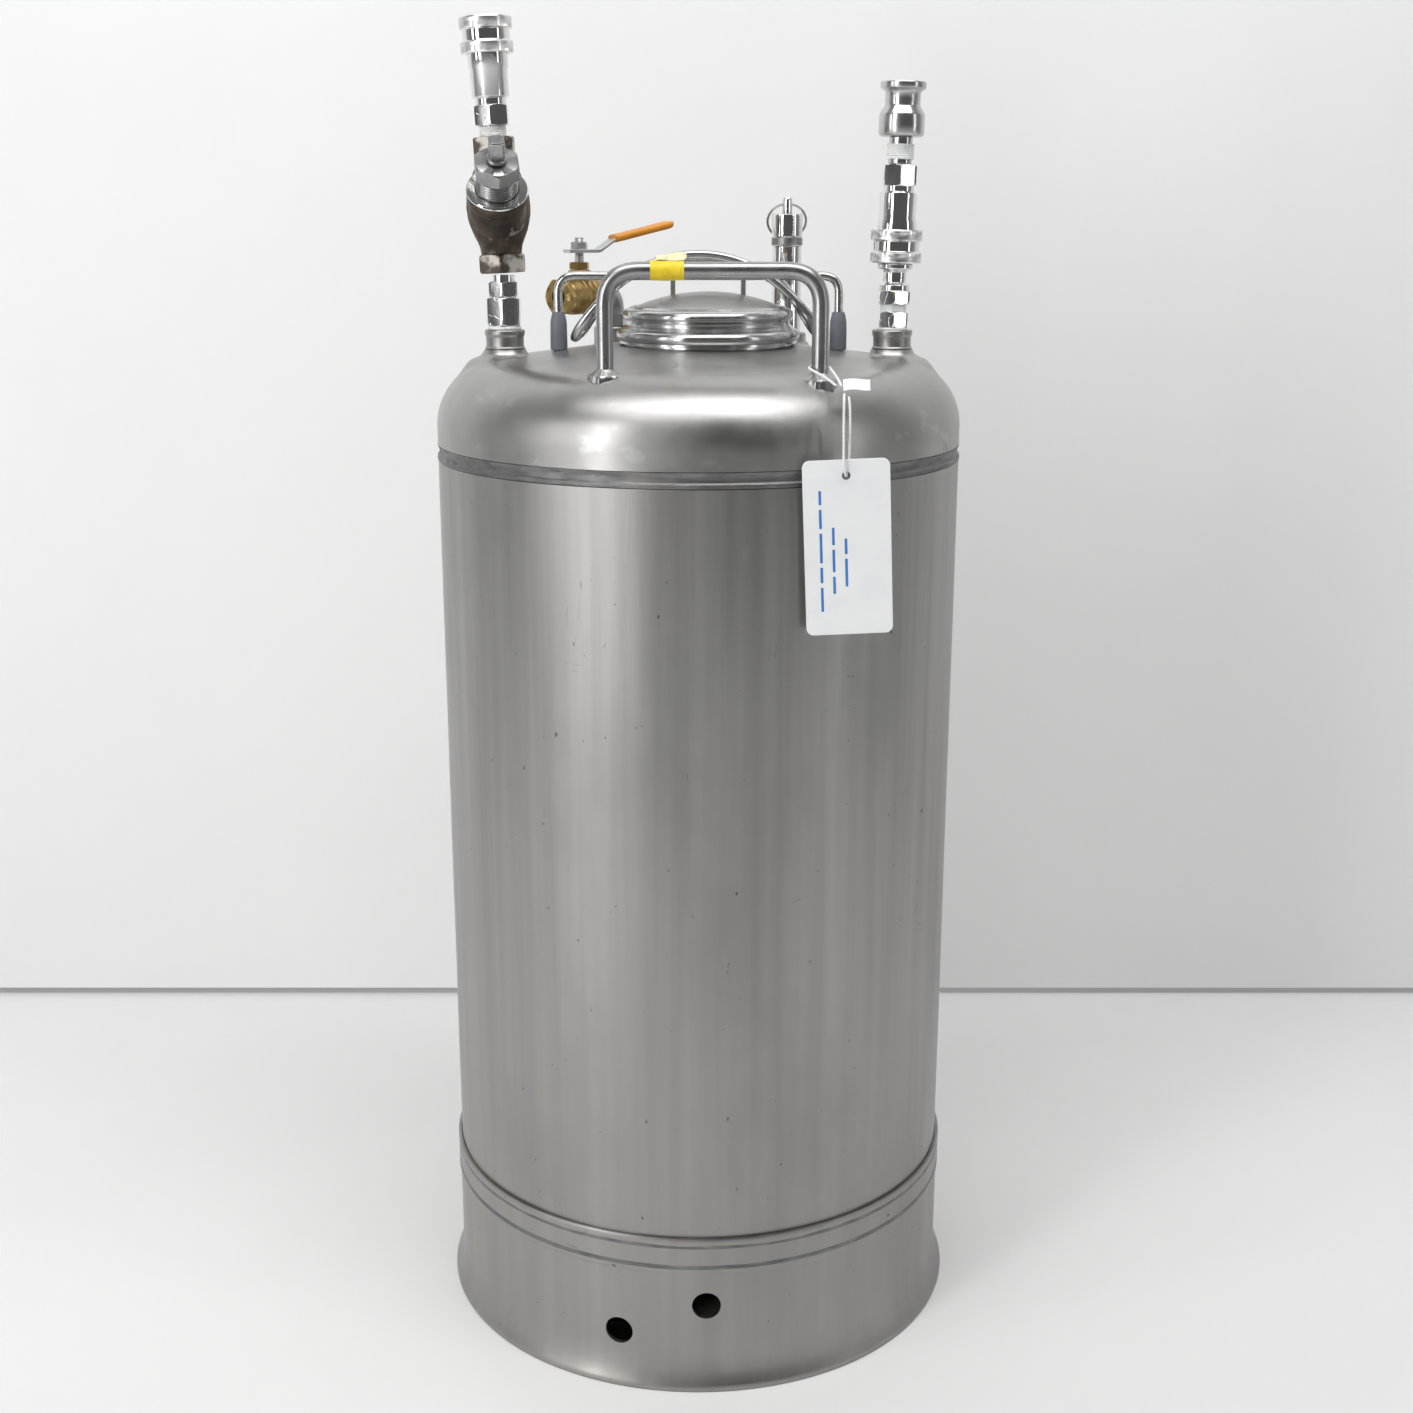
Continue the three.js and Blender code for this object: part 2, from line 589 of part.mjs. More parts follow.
function buildRightStack() {
  portBoss("gas_port_boss", PORT_X);
  const stack = groupAt(PORT_X, 0, RIGHT_LEAN_Z);
  stack.rotation.y = RIGHT_LEAN;
  const bushing = hexBar(17.5, 0.6, 10.4).add(solid(rod(8.4, -8, 0.8))).add(solid(rod(6.2, 10, 14)));
  add("gas_hex_bushing", bored(bushing, 3.5, -20, 20), CHROME, stack);
  const plug = hexBar(19, 14.9, 23.4).add(solid(turned([
    [0, 23], [9.5, 23], [9.5, 27], [7.3, 28], [7.3, 35], [11, 36.5], [11, 39.5], [8.4, 40], [8.4, 52], [7, 54], [0, 54],
  ])));
  add("gas_plug", bored(plug, 3.5, 0, 60), CHROME, stack);
  const { body: coupler, start, mouth } = couplerBody(13, 4, 17, 5, 20);
  const couplerGroup = groupAt(0, 0, 40 + mouth, stack);
  couplerGroup.rotation.x = Math.PI;
  add("right_coupler_body", coupler, CHROME, couplerGroup);
  add("right_coupler_sleeve", couplerSleeve(start, 20), CHROME, couplerGroup);
  const top = 40 + mouth;
  add("gas_upper_nipple", sleeve(3.6, 7.2, top + GAP, top + 16), BRIGHT_STEEL, stack);
  add("gas_nipple_tape", sleeve(7.5, 8.6, top + 3, top + 12), WHITE_TAPE, stack);
  const cap = top + 16.3;
  add("flange_adapter", turned([
    [7, cap], [12.5, cap], [14, cap + 1.8], [14, cap + 13], [10.8, cap + 18], [10.8, cap + 26.4],
    [13.2, cap + 27.4], [14, cap + 28], [14, cap + 32], [7, cap + 32],
  ]), BRIGHT_STEEL, stack);
}

function buildReliefValve() {
  const group = groupAt(RELIEF_X, RELIEF_Y, 0);
  const boss = seatOnHead(solid(sleeve(7.2, 13, 625, 641)), RELIEF_X, RELIEF_Y);
  add("relief_port_boss", boss, SATIN_STEEL, group);
  add("relief_body", turned([
    [3.7, 634], [6.8, 634], [6.8, 641.4], [9.5, 641.4], [9.5, 696.6], [3.7, 696.6],
  ]), CHROME, group);
  add("relief_lock_ring", bored(hexBar(20.4, 696.9, 701.9), 3.7, 690, 710), BRASS, group);
  add("relief_cap", turned([
    [3.7, 702.2], [10, 702.2], [10, 716], [9.4, 717], [3.7, 717],
  ]), CHROME, group);
  const hole = rod(1.7, -10, 10, TINY_ROUND);
  hole.rotateY(Math.PI / 2);
  hole.translate(0, 0, 723);
  const pin = solid(turned([[0, 680], [3.2, 680], [3.2, 726.2], [2.6, 727], [0, 727]])).subtract(solid(hole));
  add("relief_pull_pin", pin, CHROME, group);
  const ring = new THREE.TorusGeometry(12.6, 0.8, 5, 22);
  ring.rotateX(Math.PI / 2);
  ring.translate(0, 0, -12.6);
  ring.rotateX(THREE.MathUtils.degToRad(31));
  ring.translate(0, 0, 723);
  add("relief_pull_ring", ring, BRIGHT_STEEL, group);
}

function elbowCentre() {
  return vector(VALVE_X - ELBOW_REACH * Math.cos(VALVE_TURN), VALVE_Y - ELBOW_REACH * Math.sin(VALVE_TURN), VALVE_Z);
}

function buildBallValve() {
  const rear = elbowCentre();
  const port = groupAt(rear.x, rear.y, 0);
  add("vent_port_boss", seatOnHead(solid(sleeve(7.2, 12, 622, 643)), rear.x, rear.y), SATIN_STEEL, port);

  const valve = groupAt(VALVE_X, VALVE_Y, VALVE_Z);
  valve.rotation.z = VALVE_TURN;
  const across = (body) => body.rotateY(Math.PI / 2);
  const arm = solid(across(rod(8.5, -ELBOW_REACH, -20.3)));
  const leg = solid(rod(8.5, -20.6, 0)).add(hexBar(18, -20.6, -12)).add(solid(rod(6.8, -26, -20)));
  const knuckle = new THREE.SphereGeometry(9.4, SMALL_ROUND, TINY_ROUND);
  let elbow = leg.add(solid(knuckle)).translate([-ELBOW_REACH, 0, 0]).add(arm);
  elbow = elbow.subtract(solid(across(rod(4.5, -ELBOW_REACH, 0))));
  elbow = elbow.subtract(solid(rod(4.5, -40, 0)).translate([-ELBOW_REACH, 0, 0]));
  add("vent_elbow", elbow, SATIN_STEEL, valve);

  let body = solid(across(turned([
    [0, -20], [11, -20], [11, -11], [12, -9], [12, 9], [11, 11], [11, 16], [0, 16],
  ]))).add(solid(rod(7, 0, 17)));
  body = body.subtract(solid(across(rod(5.5, -40, 40)))).subtract(solid(new THREE.SphereGeometry(9, 12, 6)));
  body = body.subtract(solid(rod(3.3, 0, 40)));
  add("ball_valve_body", body, BRASS, valve);
  const nutGeometry = geometryOf(bored(hexBar(22, 16.3, 21.5), 5.5, 0, 40));
  add("ball_valve_tail_nut", across(nutGeometry), BRASS, valve);
  const handle = groupAt(VALVE_X, VALVE_Y, VALVE_Z);
  handle.rotation.z = LEVER_TURN;
  const ball = solid(new THREE.SphereGeometry(8.5, 12, 6)).subtract(solid(across(rod(5.5, -40, 40))));
  add("valve_ball", ball.subtract(solid(rod(3.6, 6.5, 20))), CHROME, valve);
  add("valve_spindle", rod(3, 6.8, 38), SATIN_STEEL, valve);
  add("packing_nut", bored(hexBar(12, 17.3, 22), 3.3, 10, 30), BRASS, valve);

  const leverLine = new THREE.Shape();
  const points = [[9, 28], [-12, 28], [-25, 36], [-64, 44.5], [-64, 46.5], [-26, 38.2], [-13, 30.2], [9, 30.2]];
  points.forEach(([x, z], i) => (i ? leverLine.lineTo(x, z) : leverLine.moveTo(x, z)));
  const strip = new THREE.ExtrudeGeometry(leverLine, { depth: 12, bevelEnabled: false });
  strip.translate(0, 0, -6);
  strip.rotateX(Math.PI / 2);
  const lever = solid(strip).subtract(solid(rod(3.3, 20, 40)));
  add("valve_lever", lever, BRIGHT_STEEL, handle);
  const gripLine = new THREE.Shape();
  const gripPoints = [[-24, 34.2], [-65.5, 43], [-68, 44.6], [-67.6, 47.2], [-64, 48.6], [-27, 40.8], [-24.6, 39.4]];
  gripPoints.forEach(([x, z], i) => (i ? gripLine.lineTo(x, z) : gripLine.moveTo(x, z)));
  const grip = new THREE.ExtrudeGeometry(gripLine, { depth: 15, bevelEnabled: false });
  grip.translate(0, 0, -7.5);
  grip.rotateX(Math.PI / 2);
  const slotLine = new THREE.Shape();
  const slotPoints = [[-20, 32.4], [-25, 35.6], [-64.4, 44.1], [-64.4, 46.9], [-26, 38.6], [-20, 34.8]];
  slotPoints.forEach(([x, z], i) => (i ? slotLine.lineTo(x, z) : slotLine.moveTo(x, z)));
  const slot = new THREE.ExtrudeGeometry(slotLine, { depth: 12.8, bevelEnabled: false });
  slot.translate(0, 0, -6.4);
  slot.rotateX(Math.PI / 2);
  add("lever_grip", solid(grip).subtract(solid(slot)), ORANGE_VINYL, handle);
  add("lever_nut", bored(hexBar(10, 30.6, 35), 3.3, 20, 40), BRIGHT_STEEL, valve);
}

// ---------- hanging tag ----------
const STRING_KNOT = vector(TAG_X, -146, 620);

function buildTag() {
  const outline = new THREE.Shape();
  const half = TAG_WIDTH / 2;
  const corner = 4;
  outline.moveTo(-half + corner, -TAG_HEIGHT);
  outline.lineTo(half - corner, -TAG_HEIGHT);
  outline.quadraticCurveTo(half, -TAG_HEIGHT, half, -TAG_HEIGHT + corner);
  outline.lineTo(half, -corner);
  outline.quadraticCurveTo(half, 0, half - corner, 0);
  outline.lineTo(-half + corner, 0);
  outline.quadraticCurveTo(-half, 0, -half, -corner);
  outline.lineTo(-half, -TAG_HEIGHT + corner);
  outline.quadraticCurveTo(-half, -TAG_HEIGHT, -half + corner, -TAG_HEIGHT);
  const hole = new THREE.Path();
  hole.absarc(0, -9, 2.4, 0, 2 * Math.PI, true);
  outline.holes.push(hole);
  const plate = new THREE.ExtrudeGeometry(outline, { depth: 1.2, bevelEnabled: false, curveSegments: 5 });
  plate.rotateX(Math.PI / 2);
  plate.translate(TAG_X, TAG_Y + 0.6, TAG_TOP);
  add("hanging_tag", plate, WHITE_PLASTIC);

  const drop = TAG_TOP - 9;
  const lower = new THREE.CatmullRomCurve3([
    vector(TAG_X - 1.2, -150.5, 619), vector(TAG_X - 1.6, -155.5, 614), vector(TAG_X - 1.8, -159, 604),
    vector(TAG_X - 1.8, -161.6, 592), vector(TAG_X - 1.6, -163, drop + 5), vector(TAG_X - 0.6, -162.6, drop + 1),
    vector(TAG_X, -160, drop), vector(TAG_X + 0.6, -157.2, drop + 1), vector(TAG_X + 1.6, -156.6, drop + 5),
    vector(TAG_X + 1.9, -156.6, 592), vector(TAG_X + 1.9, -156.4, 604), vector(TAG_X + 1.7, -154.2, 613),
    vector(TAG_X + 1.4, -150.3, 617.3),
  ]);
  add("tag_string_lower", wire(lower, STRING_RADIUS, 26, 6), WHITE_STRING);

  const flag = new THREE.BoxGeometry(15, 7, 1.4);
  flag.translate(STRING_KNOT.x + 6, STRING_KNOT.y, STRING_KNOT.z + 3.2);
  add("tag_string_clasp", flag, WHITE_PLASTIC);
  const legX = HANDLE_X + HANDLE_HALF;
  const reach = HANDLE_ROD + STRING_RADIUS + 0.5;
  const upper = new THREE.CatmullRomCurve3([
    vector(TAG_X - 2.2, -141.6, 622.6), vector(TAG_X - 4, -134, 626.4),
    vector(legX + reach, HANDLE_Y - 3.5, 630.6), vector(legX + reach - 1, HANDLE_Y + 3.6, 631.4),
    vector(legX, HANDLE_Y + reach, 631.8), vector(legX - reach + 1, HANDLE_Y + 3.6, 631.6),
    vector(legX - reach, HANDLE_Y - 3, 631), vector(legX - reach + 2.5, HANDLE_Y - 8.6, 629.6),
    vector(legX + 1.5, HANDLE_Y - 13.5, 627.2), vector(TAG_X - 5, -141.4, 622.8),
  ]);
  add("tag_string_upper", wire(upper, STRING_RADIUS, 28, 6), WHITE_STRING);
}

buildShell();
buildTopHead();
buildSkirt();
buildInnerVessel();
buildCollar();
buildLid();
buildBail();
buildHandle();
buildLeftStack();
buildRightStack();
buildReliefValve();
buildBallValve();
buildTag();

export default vessel;
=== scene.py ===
"""Looks of a skirted stainless cryogenic vessel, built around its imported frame.

Outlines and routes are in millimetres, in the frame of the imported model, and are scaled to metres once.
"""
import json
import math

import bmesh
import bpy
from mathutils import Matrix, Vector, noise

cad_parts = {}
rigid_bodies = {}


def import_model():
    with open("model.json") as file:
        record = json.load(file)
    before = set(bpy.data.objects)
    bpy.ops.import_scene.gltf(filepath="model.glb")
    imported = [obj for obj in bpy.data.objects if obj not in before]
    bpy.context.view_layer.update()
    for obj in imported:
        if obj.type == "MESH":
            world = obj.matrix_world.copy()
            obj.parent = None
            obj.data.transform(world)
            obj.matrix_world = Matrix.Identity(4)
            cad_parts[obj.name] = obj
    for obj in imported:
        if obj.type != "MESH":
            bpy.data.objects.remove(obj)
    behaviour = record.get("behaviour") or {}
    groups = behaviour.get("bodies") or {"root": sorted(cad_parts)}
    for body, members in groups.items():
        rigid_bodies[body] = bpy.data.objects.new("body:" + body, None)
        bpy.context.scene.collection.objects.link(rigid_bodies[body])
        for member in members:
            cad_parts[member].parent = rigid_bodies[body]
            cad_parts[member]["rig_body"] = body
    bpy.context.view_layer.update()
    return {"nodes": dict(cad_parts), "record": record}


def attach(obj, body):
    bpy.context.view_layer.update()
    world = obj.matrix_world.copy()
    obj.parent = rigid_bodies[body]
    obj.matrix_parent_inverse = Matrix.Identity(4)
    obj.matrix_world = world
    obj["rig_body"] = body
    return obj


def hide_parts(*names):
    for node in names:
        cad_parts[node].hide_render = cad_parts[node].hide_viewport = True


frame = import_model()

# ---------- driving dimensions, in millimetres unless named otherwise ----------
MM = 0.001
FULL = 2 * math.pi
UP = Vector((0, 0, 1))
SHARP = math.radians(32)
FINE_SIDES = 288

SHELL_RADIUS = 165
WALL = 3
SHELL_BOTTOM = 82
WELD_LOW = 568
WELD_HIGH = 577
SKIRT_RADIUS = 166.5
SKIRT_TOP = 79.7
FLARE_RADIUS = 172
BAND_RADIUS = 167.5
BAND_TOP = 104.5
DRAIN_HOLE_RADIUS = 9
DRAIN_HOLES = ((-50, 36), (5, 58))
KNUCKLE_RADIUS = 40
KNUCKLE_START = 588
CROWN_RADIUS = 58
CROWN_HEIGHT = 637
HATCH_X = 6
HATCH_OVAL = 1.12
COLLAR_BORE = 47.5
COLLAR_NECK = 52.5
COLLAR_FOOT = 630
LID_RADIUS = 46.4
LID_EDGE = 660
LID_TOP = 669.5
PORT_X = 122
BAIL_WIRE = 2.75
BAIL_AXIS_Z = 679
BAIL_FOOT_X = 88
BAIL_LOOP_X = 78
LUG_X = 22
LUG_RADIUS = 4.2
HANDLE_ROD = 4.8
HANDLE_X = 8
HANDLE_Y = -122
HANDLE_HALF = 61
HANDLE_TOP = 685
HANDLE_BEND = 20
HANDLE_FOOT = 612
TAPE_START = -27
TAPE_END = -8
RELIEF_X = 58
RELIEF_Y = 62
RING_RADIUS = 12.6
RING_HEIGHT = 723
ELBOW_REACH = 32
TAG_X = 82
TAG_Y = -160
TAG_WIDTH = 49
TAG_HEIGHT = 99
TAG_TOP = 584
TAG_THICKNESS = 1.2
TAG_HOLE_DROP = 9
STRING_RADIUS = 0.7
STRING_SIDES = 14
WALL_Y = 0.445
WALL_GAP = 0.007


# ---------- placing matrices ----------
def at(x, y=0, z=0):
    return Matrix.Translation((x, y, z))


def rotation(degrees, axis):
    return Matrix.Rotation(math.radians(degrees), 4, axis)


LEFT_GROUP = at(-PORT_X, 0, 680) @ rotation(-2.7, "Y")
RIGHT_GROUP = at(PORT_X, 0, 646.8) @ rotation(1.2, "Y")
BONNET = LEFT_GROUP @ at(0, -10, 36) @ rotation(10, "Z") @ rotation(42, "X")
LEFT_COUPLER = LEFT_GROUP @ at(0, 0, 88.3)
RIGHT_COUPLER = RIGHT_GROUP @ at(0, 0, 99) @ rotation(180, "X")
VALVE_CENTRE = at(-79, 74, 664)
BALL_VALVE = VALVE_CENTRE @ rotation(232, "Z")
LEVER = VALVE_CENTRE @ rotation(206.6, "Z")
ALONG_X = rotation(90, "Y")
ALONG_Y = rotation(90, "X")
RELIEF = at(RELIEF_X, RELIEF_Y)
HATCH = at(HATCH_X) @ Matrix.Diagonal((1, HATCH_OVAL, 1, 1))
TO_METRES = Matrix.Scale(MM, 4)


def new_object(name, data):
    obj = bpy.data.objects.new(name, data)
    bpy.context.scene.collection.objects.link(obj)
    return obj


# ---------- camera ----------
def make_camera():
    tilt_down = 0.2561
    camera = new_object("camera", bpy.data.cameras.new("camera"))
    camera.location = (0, -1.1755, 0.7084)
    camera.rotation_euler = (math.pi / 2 - tilt_down, 0, 0)
    camera.data.lens = 46.64
    camera.data.sensor_width = 36
    camera.data.shift_x = 0.0057
    bpy.context.scene.camera = camera


# ---------- node helpers ----------
def node(tree, kind, inputs=None):
    """Adds a shader node; an input may be a value or another node's output socket."""
    made = tree.nodes.new(kind)
    for key, value in (inputs or {}).items():
        feed(tree, made.inputs[key], value)
    return made


def feed(tree, socket, value):
    """Gives an input socket a value, or a link where the value is an output socket."""
    if isinstance(value, bpy.types.NodeSocket):
        tree.links.new(value, socket)
    else:
        socket.default_value = value


def place_of(tree, scale):
    """Object coordinates stretched by one scale, or by a scale for each axis."""
    coordinates = node(tree, "ShaderNodeTexCoord").outputs["Object"]
    stretch = scale if isinstance(scale, tuple) else (scale, scale, scale)
    return node(tree, "ShaderNodeMapping", {"Vector": coordinates, "Scale": stretch}).outputs["Vector"]


def cloud(tree, scale, detail=4.0, rough=0.55):
    """Noise from 0 to 1."""
    made = node(tree, "ShaderNodeTexNoise",
                {"Vector": place_of(tree, scale), "Scale": 1.0, "Detail": detail, "Roughness": rough})
    return made.outputs["Fac"]


def remap(tree, value, low, high, to_low, to_high):
    made = node(tree, "ShaderNodeMapRange", {"Value": value, "From Min": low, "From Max": high,
                                             "To Min": to_low, "To Max": to_high})
    return made.outputs["Result"]


def maths(tree, operation, a, b=0.0):
    made = tree.nodes.new("ShaderNodeMath")
    made.operation = operation
    for socket, value in zip(made.inputs, (a, b)):
        feed(tree, socket, value)
    return made.outputs[0]


def blended(tree, share, a, b):
    """Colour a where share is 0 and colour b where it is 1."""
    made = tree.nodes.new("ShaderNodeMix")
    made.data_type = "RGBA"
    share_input, a_input, b_input, colour_output = 0, 6, 7, 2
    for index, value in ((share_input, share), (a_input, a), (b_input, b)):
        feed(tree, made.inputs[index], value)
    return made.outputs[colour_output]


def faded(tree, mask, strength, base, tint):
    """Lays a tint over the base where the mask is high, at most by strength."""
    return blended(tree, maths(tree, "MULTIPLY", mask, strength), base, tint)


def patches(tree, scale, low, high):
    """Soft-edged patches, 0 below low and 1 above high."""
    return remap(tree, cloud(tree, scale), low, high, 0.0, 1.0)


def thin_lines(tree, scale, width):
    """Hairline marks where a noise crosses its middle value, 1 on a line and 0 off it."""
    level = cloud(tree, scale, detail=1.0)
    off_middle = maths(tree, "ABSOLUTE", maths(tree, "SUBTRACT", level, 0.5))
    return remap(tree, off_middle, 0.0, width, 1.0, 0.0)


def scratches(tree):
    """A few short, nearly straight handling marks, some level and some steep."""
    kinds = []
    level, steep = ((9, 9, 130), (30, 30, 45), 0.66), ((95, 95, 14), (38, 38, 24), 0.67)
    for line_scale, patch_scale, low in (level, steep):
        lines = thin_lines(tree, line_scale, 0.006)
        kinds.append(maths(tree, "MULTIPLY", lines, patches(tree, patch_scale, low, 0.7)))
    return maths(tree, "MAXIMUM", *kinds)


def grey(value, warm=0.0):
    return (value + warm, value, value - warm, 1.0)


def two_tone(scale, dark, light):
    """A colour that drifts between two close tones."""
    return lambda tree: blended(tree, patches(tree, scale, 0.35, 0.7), dark, light)


def shine(scale, low, high, detail=4.0, top=0.7):
    """A roughness that drifts between low and high."""
    return lambda tree: remap(tree, cloud(tree, scale, detail), 0.3, top, low, high)


def grain(scale, detail=4.0, rough=0.55):
    """A surface height of plain noise."""
    return lambda tree: cloud(tree, scale, detail, rough)


def material(name, colour, roughness, metallic=0.0, height=None, bump=0.2, bump_size=0.0004):
    """A material kept under its name; colour, roughness and height take its tree and return a socket."""
    made = bpy.data.materials.new(name)
    made.use_nodes = True
    tree = made.node_tree
    shader = tree.nodes["Principled BSDF"]
    shader.inputs["Metallic"].default_value = metallic
    tree.links.new(colour(tree), shader.inputs["Base Color"])
    tree.links.new(roughness(tree), shader.inputs["Roughness"])
    if height:
        relief = node(tree, "ShaderNodeBump",
                      {"Height": height(tree), "Strength": bump, "Distance": bump_size})
        tree.links.new(relief.outputs["Normal"], shader.inputs["Normal"])
    MATERIALS[name] = made
    return made


# ---------- materials ----------
MATERIALS = {}
SLOTS = {row["node"]: row["material_slot"] for row in frame["record"]["subparts"]}


def shell_steel():
    """Lightly brushed sheet with drip streaks, hairline scratches, specks and a slow change of tone."""
    def colour(tree):
        streaks = remap(tree, cloud(tree, (70, 70, 1.6), detail=3), 0.3, 0.7, 0, 1)
        base = blended(tree, streaks, grey(0.315, 0.004), grey(0.4, 0.004))
        level = node(tree, "ShaderNodeSeparateXYZ", {"Vector": place_of(tree, 1)}).outputs["Z"]
        base = blended(tree, remap(tree, level, 0.45, 0.1, 0, 0.55), base, (0.335, 0.315, 0.29, 1))
        base = faded(tree, patches(tree, (9, 9, 5), 0.5, 0.7), 0.5, base, grey(0.25))
        base = faded(tree, scratches(tree), 0.75, base, grey(0.1))
        return faded(tree, patches(tree, (200, 200, 150), 0.71, 0.74), 0.8, base, grey(0.1))

    def height(tree):
        cuts = maths(tree, "MULTIPLY", scratches(tree), 0.6)
        return maths(tree, "SUBTRACT", cloud(tree, (900, 900, 60), detail=2), cuts)

    material("satin_steel", colour, shine((40, 40, 3), 0.33, 0.45, 5), 1.0, height, 0.25, 0.0002)


def head_steel():
    """Drawn head metal: cloudy matt grey with stains round the welds."""
    def colour(tree):
        base = blended(tree, patches(tree, 16, 0.4, 0.65), grey(0.36, 0.003), grey(0.42, 0.003))
        base = faded(tree, patches(tree, (34, 34, 60), 0.6, 0.66), 0.45, base, grey(0.52))
        lines = thin_lines(tree, (60, 8, 12), 0.006)
        marks = maths(tree, "MULTIPLY", lines, patches(tree, (30, 24, 24), 0.6, 0.66))
        return faded(tree, marks, 0.6, base, grey(0.16))

    material("head_steel", colour, shine(30, 0.3, 0.44, 6), 1.0, grain(500, 3), 0.2, 0.0002)


def weld_steel():
    """Ground weld bands, darker than the sheet, with grinding marks round the vessel."""
    def colour(tree):
        base = blended(tree, patches(tree, (60, 60, 260), 0.35, 0.65), grey(0.15), grey(0.25))
        return faded(tree, patches(tree, 26, 0.55, 0.7), 0.5, base, (0.27, 0.25, 0.22, 1))

    gloss = shine((120, 120, 600), 0.4, 0.6)
    material("weld_steel", colour, gloss, 1.0, grain((90, 90, 1400), 3), 0.4, 0.0004)


def polished_steel(name, low, high, shine_low, shine_high, dents=0.0003):
    """Bright metal with faint smudges and shallow handling dents."""
    def height(tree):
        lines = maths(tree, "MULTIPLY", thin_lines(tree, (70, 90, 60), 0.006), 0.15)
        return maths(tree, "ADD", cloud(tree, 60, detail=2), lines)

    gloss = shine((80, 80, 25), shine_low, shine_high, 6, 0.75)
    material(name, two_tone(45, grey(low), grey(high)), gloss, 1.0, height, 0.15, dents)


def cast_bronze():
    """Sand-cast body: dark brown skin with pits, soot and a few worn bright spots."""
    def colour(tree):
        base = blended(tree, patches(tree, 55, 0.35, 0.65), (0.05, 0.042, 0.036, 1), (0.13, 0.1, 0.075, 1))
        base = faded(tree, patches(tree, (38, 38, 24), 0.55, 0.68), 0.5, base, (0.12, 0.06, 0.035, 1))
        worn = maths(tree, "MULTIPLY", patches(tree, 120, 0.56, 0.62), patches(tree, 50, 0.5, 0.6))
        return faded(tree, worn, 0.8, base, (0.42, 0.38, 0.33, 1))

    material("cast_bronze", colour, shine(90, 0.38, 0.68, 6), 0.85, grain(420, 6, 0.7), 0.6, 0.0008)


def worn_bronze():
    """The cast body's wrench flats, rubbed bright in places."""
    def colour(tree):
        return blended(tree, patches(tree, 90, 0.42, 0.56), (0.11, 0.095, 0.08, 1), (0.62, 0.58, 0.53, 1))

    material("worn_bronze", colour, shine(160, 0.3, 0.55, 6), 1.0, grain(500, 5), 0.4, 0.0005)


def brass():
    """Dull machined brass, browned in the hollows."""
    def colour(tree):
        base = blended(tree, patches(tree, 80, 0.4, 0.65), (0.36, 0.24, 0.085, 1), (0.55, 0.4, 0.17, 1))
        return faded(tree, patches(tree, 140, 0.55, 0.7), 0.6, base, (0.16, 0.1, 0.05, 1))

    material("brass", colour, shine(120, 0.22, 0.42, 5), 1.0, grain((600, 600, 200), 3), 0.2, 0.0003)


def soft_plastic(name, dark, light, shine_low, shine_high, grain_scale, bump, bump_size=0.0004):
    """Rubber, vinyl or plastic: two close tones, a patchy gloss and a moulded grain."""
    gloss = shine(70, shine_low, shine_high, 5)
    material(name, two_tone(60, dark, light), gloss, 0.0, grain(grain_scale), bump, bump_size)


def creased_tape(name, dark, light):
    """Thin tape with folded creases, its colour darkened along each crease as painted shade."""
    def colour(tree):
        base = two_tone(120, dark, light)(tree)
        # painted shade: a darker tint laid along the crease lines
        crease_shade_tint = tuple(0.55 * channel for channel in dark[:3]) + (1,)
        return faded(tree, thin_lines(tree, (95, 70, 95), 0.012), 0.55, base, crease_shade_tint)

    def height(tree):
        folds = maths(tree, "MULTIPLY", thin_lines(tree, (95, 70, 95), 0.02), 0.5)
        return maths(tree, "ADD", cloud(tree, (160, 110, 160), detail=3), folds)

    material(name, colour, shine(90, 0.4, 0.6), 0.0, height, 0.5, 0.0012)


def make_materials():
    shell_steel()
    head_steel()
    weld_steel()
    polished_steel("bright_steel", 0.5, 0.62, 0.16, 0.3, 0.0006)
    polished_steel("plated_fitting", 0.72, 0.82, 0.04, 0.14)
    polished_steel("dull_fitting", 0.3, 0.42, 0.24, 0.38)
    polished_steel("handle_steel", 0.34, 0.44, 0.24, 0.36)
    polished_steel("zinc_steel", 0.5, 0.62, 0.26, 0.42)
    cast_bronze()
    worn_bronze()
    brass()
    soft_plastic("grey_rubber", (0.13, 0.145, 0.165, 1), (0.17, 0.185, 0.2, 1), 0.45, 0.65, 700, 0.3)
    soft_plastic("black_rubber", grey(0.012), grey(0.02), 0.5, 0.7, 500, 0.3)
    soft_plastic("orange_vinyl", (0.66, 0.24, 0.01, 1), (0.78, 0.33, 0.02, 1), 0.34, 0.5, 220, 0.2)
    soft_plastic("white_plastic", (0.83, 0.84, 0.85, 1), grey(0.88), 0.3, 0.42, 300, 0.05)
    soft_plastic("blue_print", (0.03, 0.17, 0.5, 1), (0.05, 0.24, 0.6, 1), 0.4, 0.5, 400, 0.05)
    soft_plastic("white_string", (0.76, 0.77, 0.77, 1), (0.88, 0.88, 0.87, 1), 0.7, 0.85, 1600, 0.5,
                 0.0003)
    creased_tape("yellow_tape", (0.78, 0.56, 0.01, 1), (0.86, 0.68, 0.03, 1))
    creased_tape("pale_tape", (0.76, 0.7, 0.42, 1), (0.85, 0.8, 0.55, 1))
    creased_tape("white_tape", (0.82, 0.83, 0.83, 1), (0.92, 0.92, 0.91, 1))


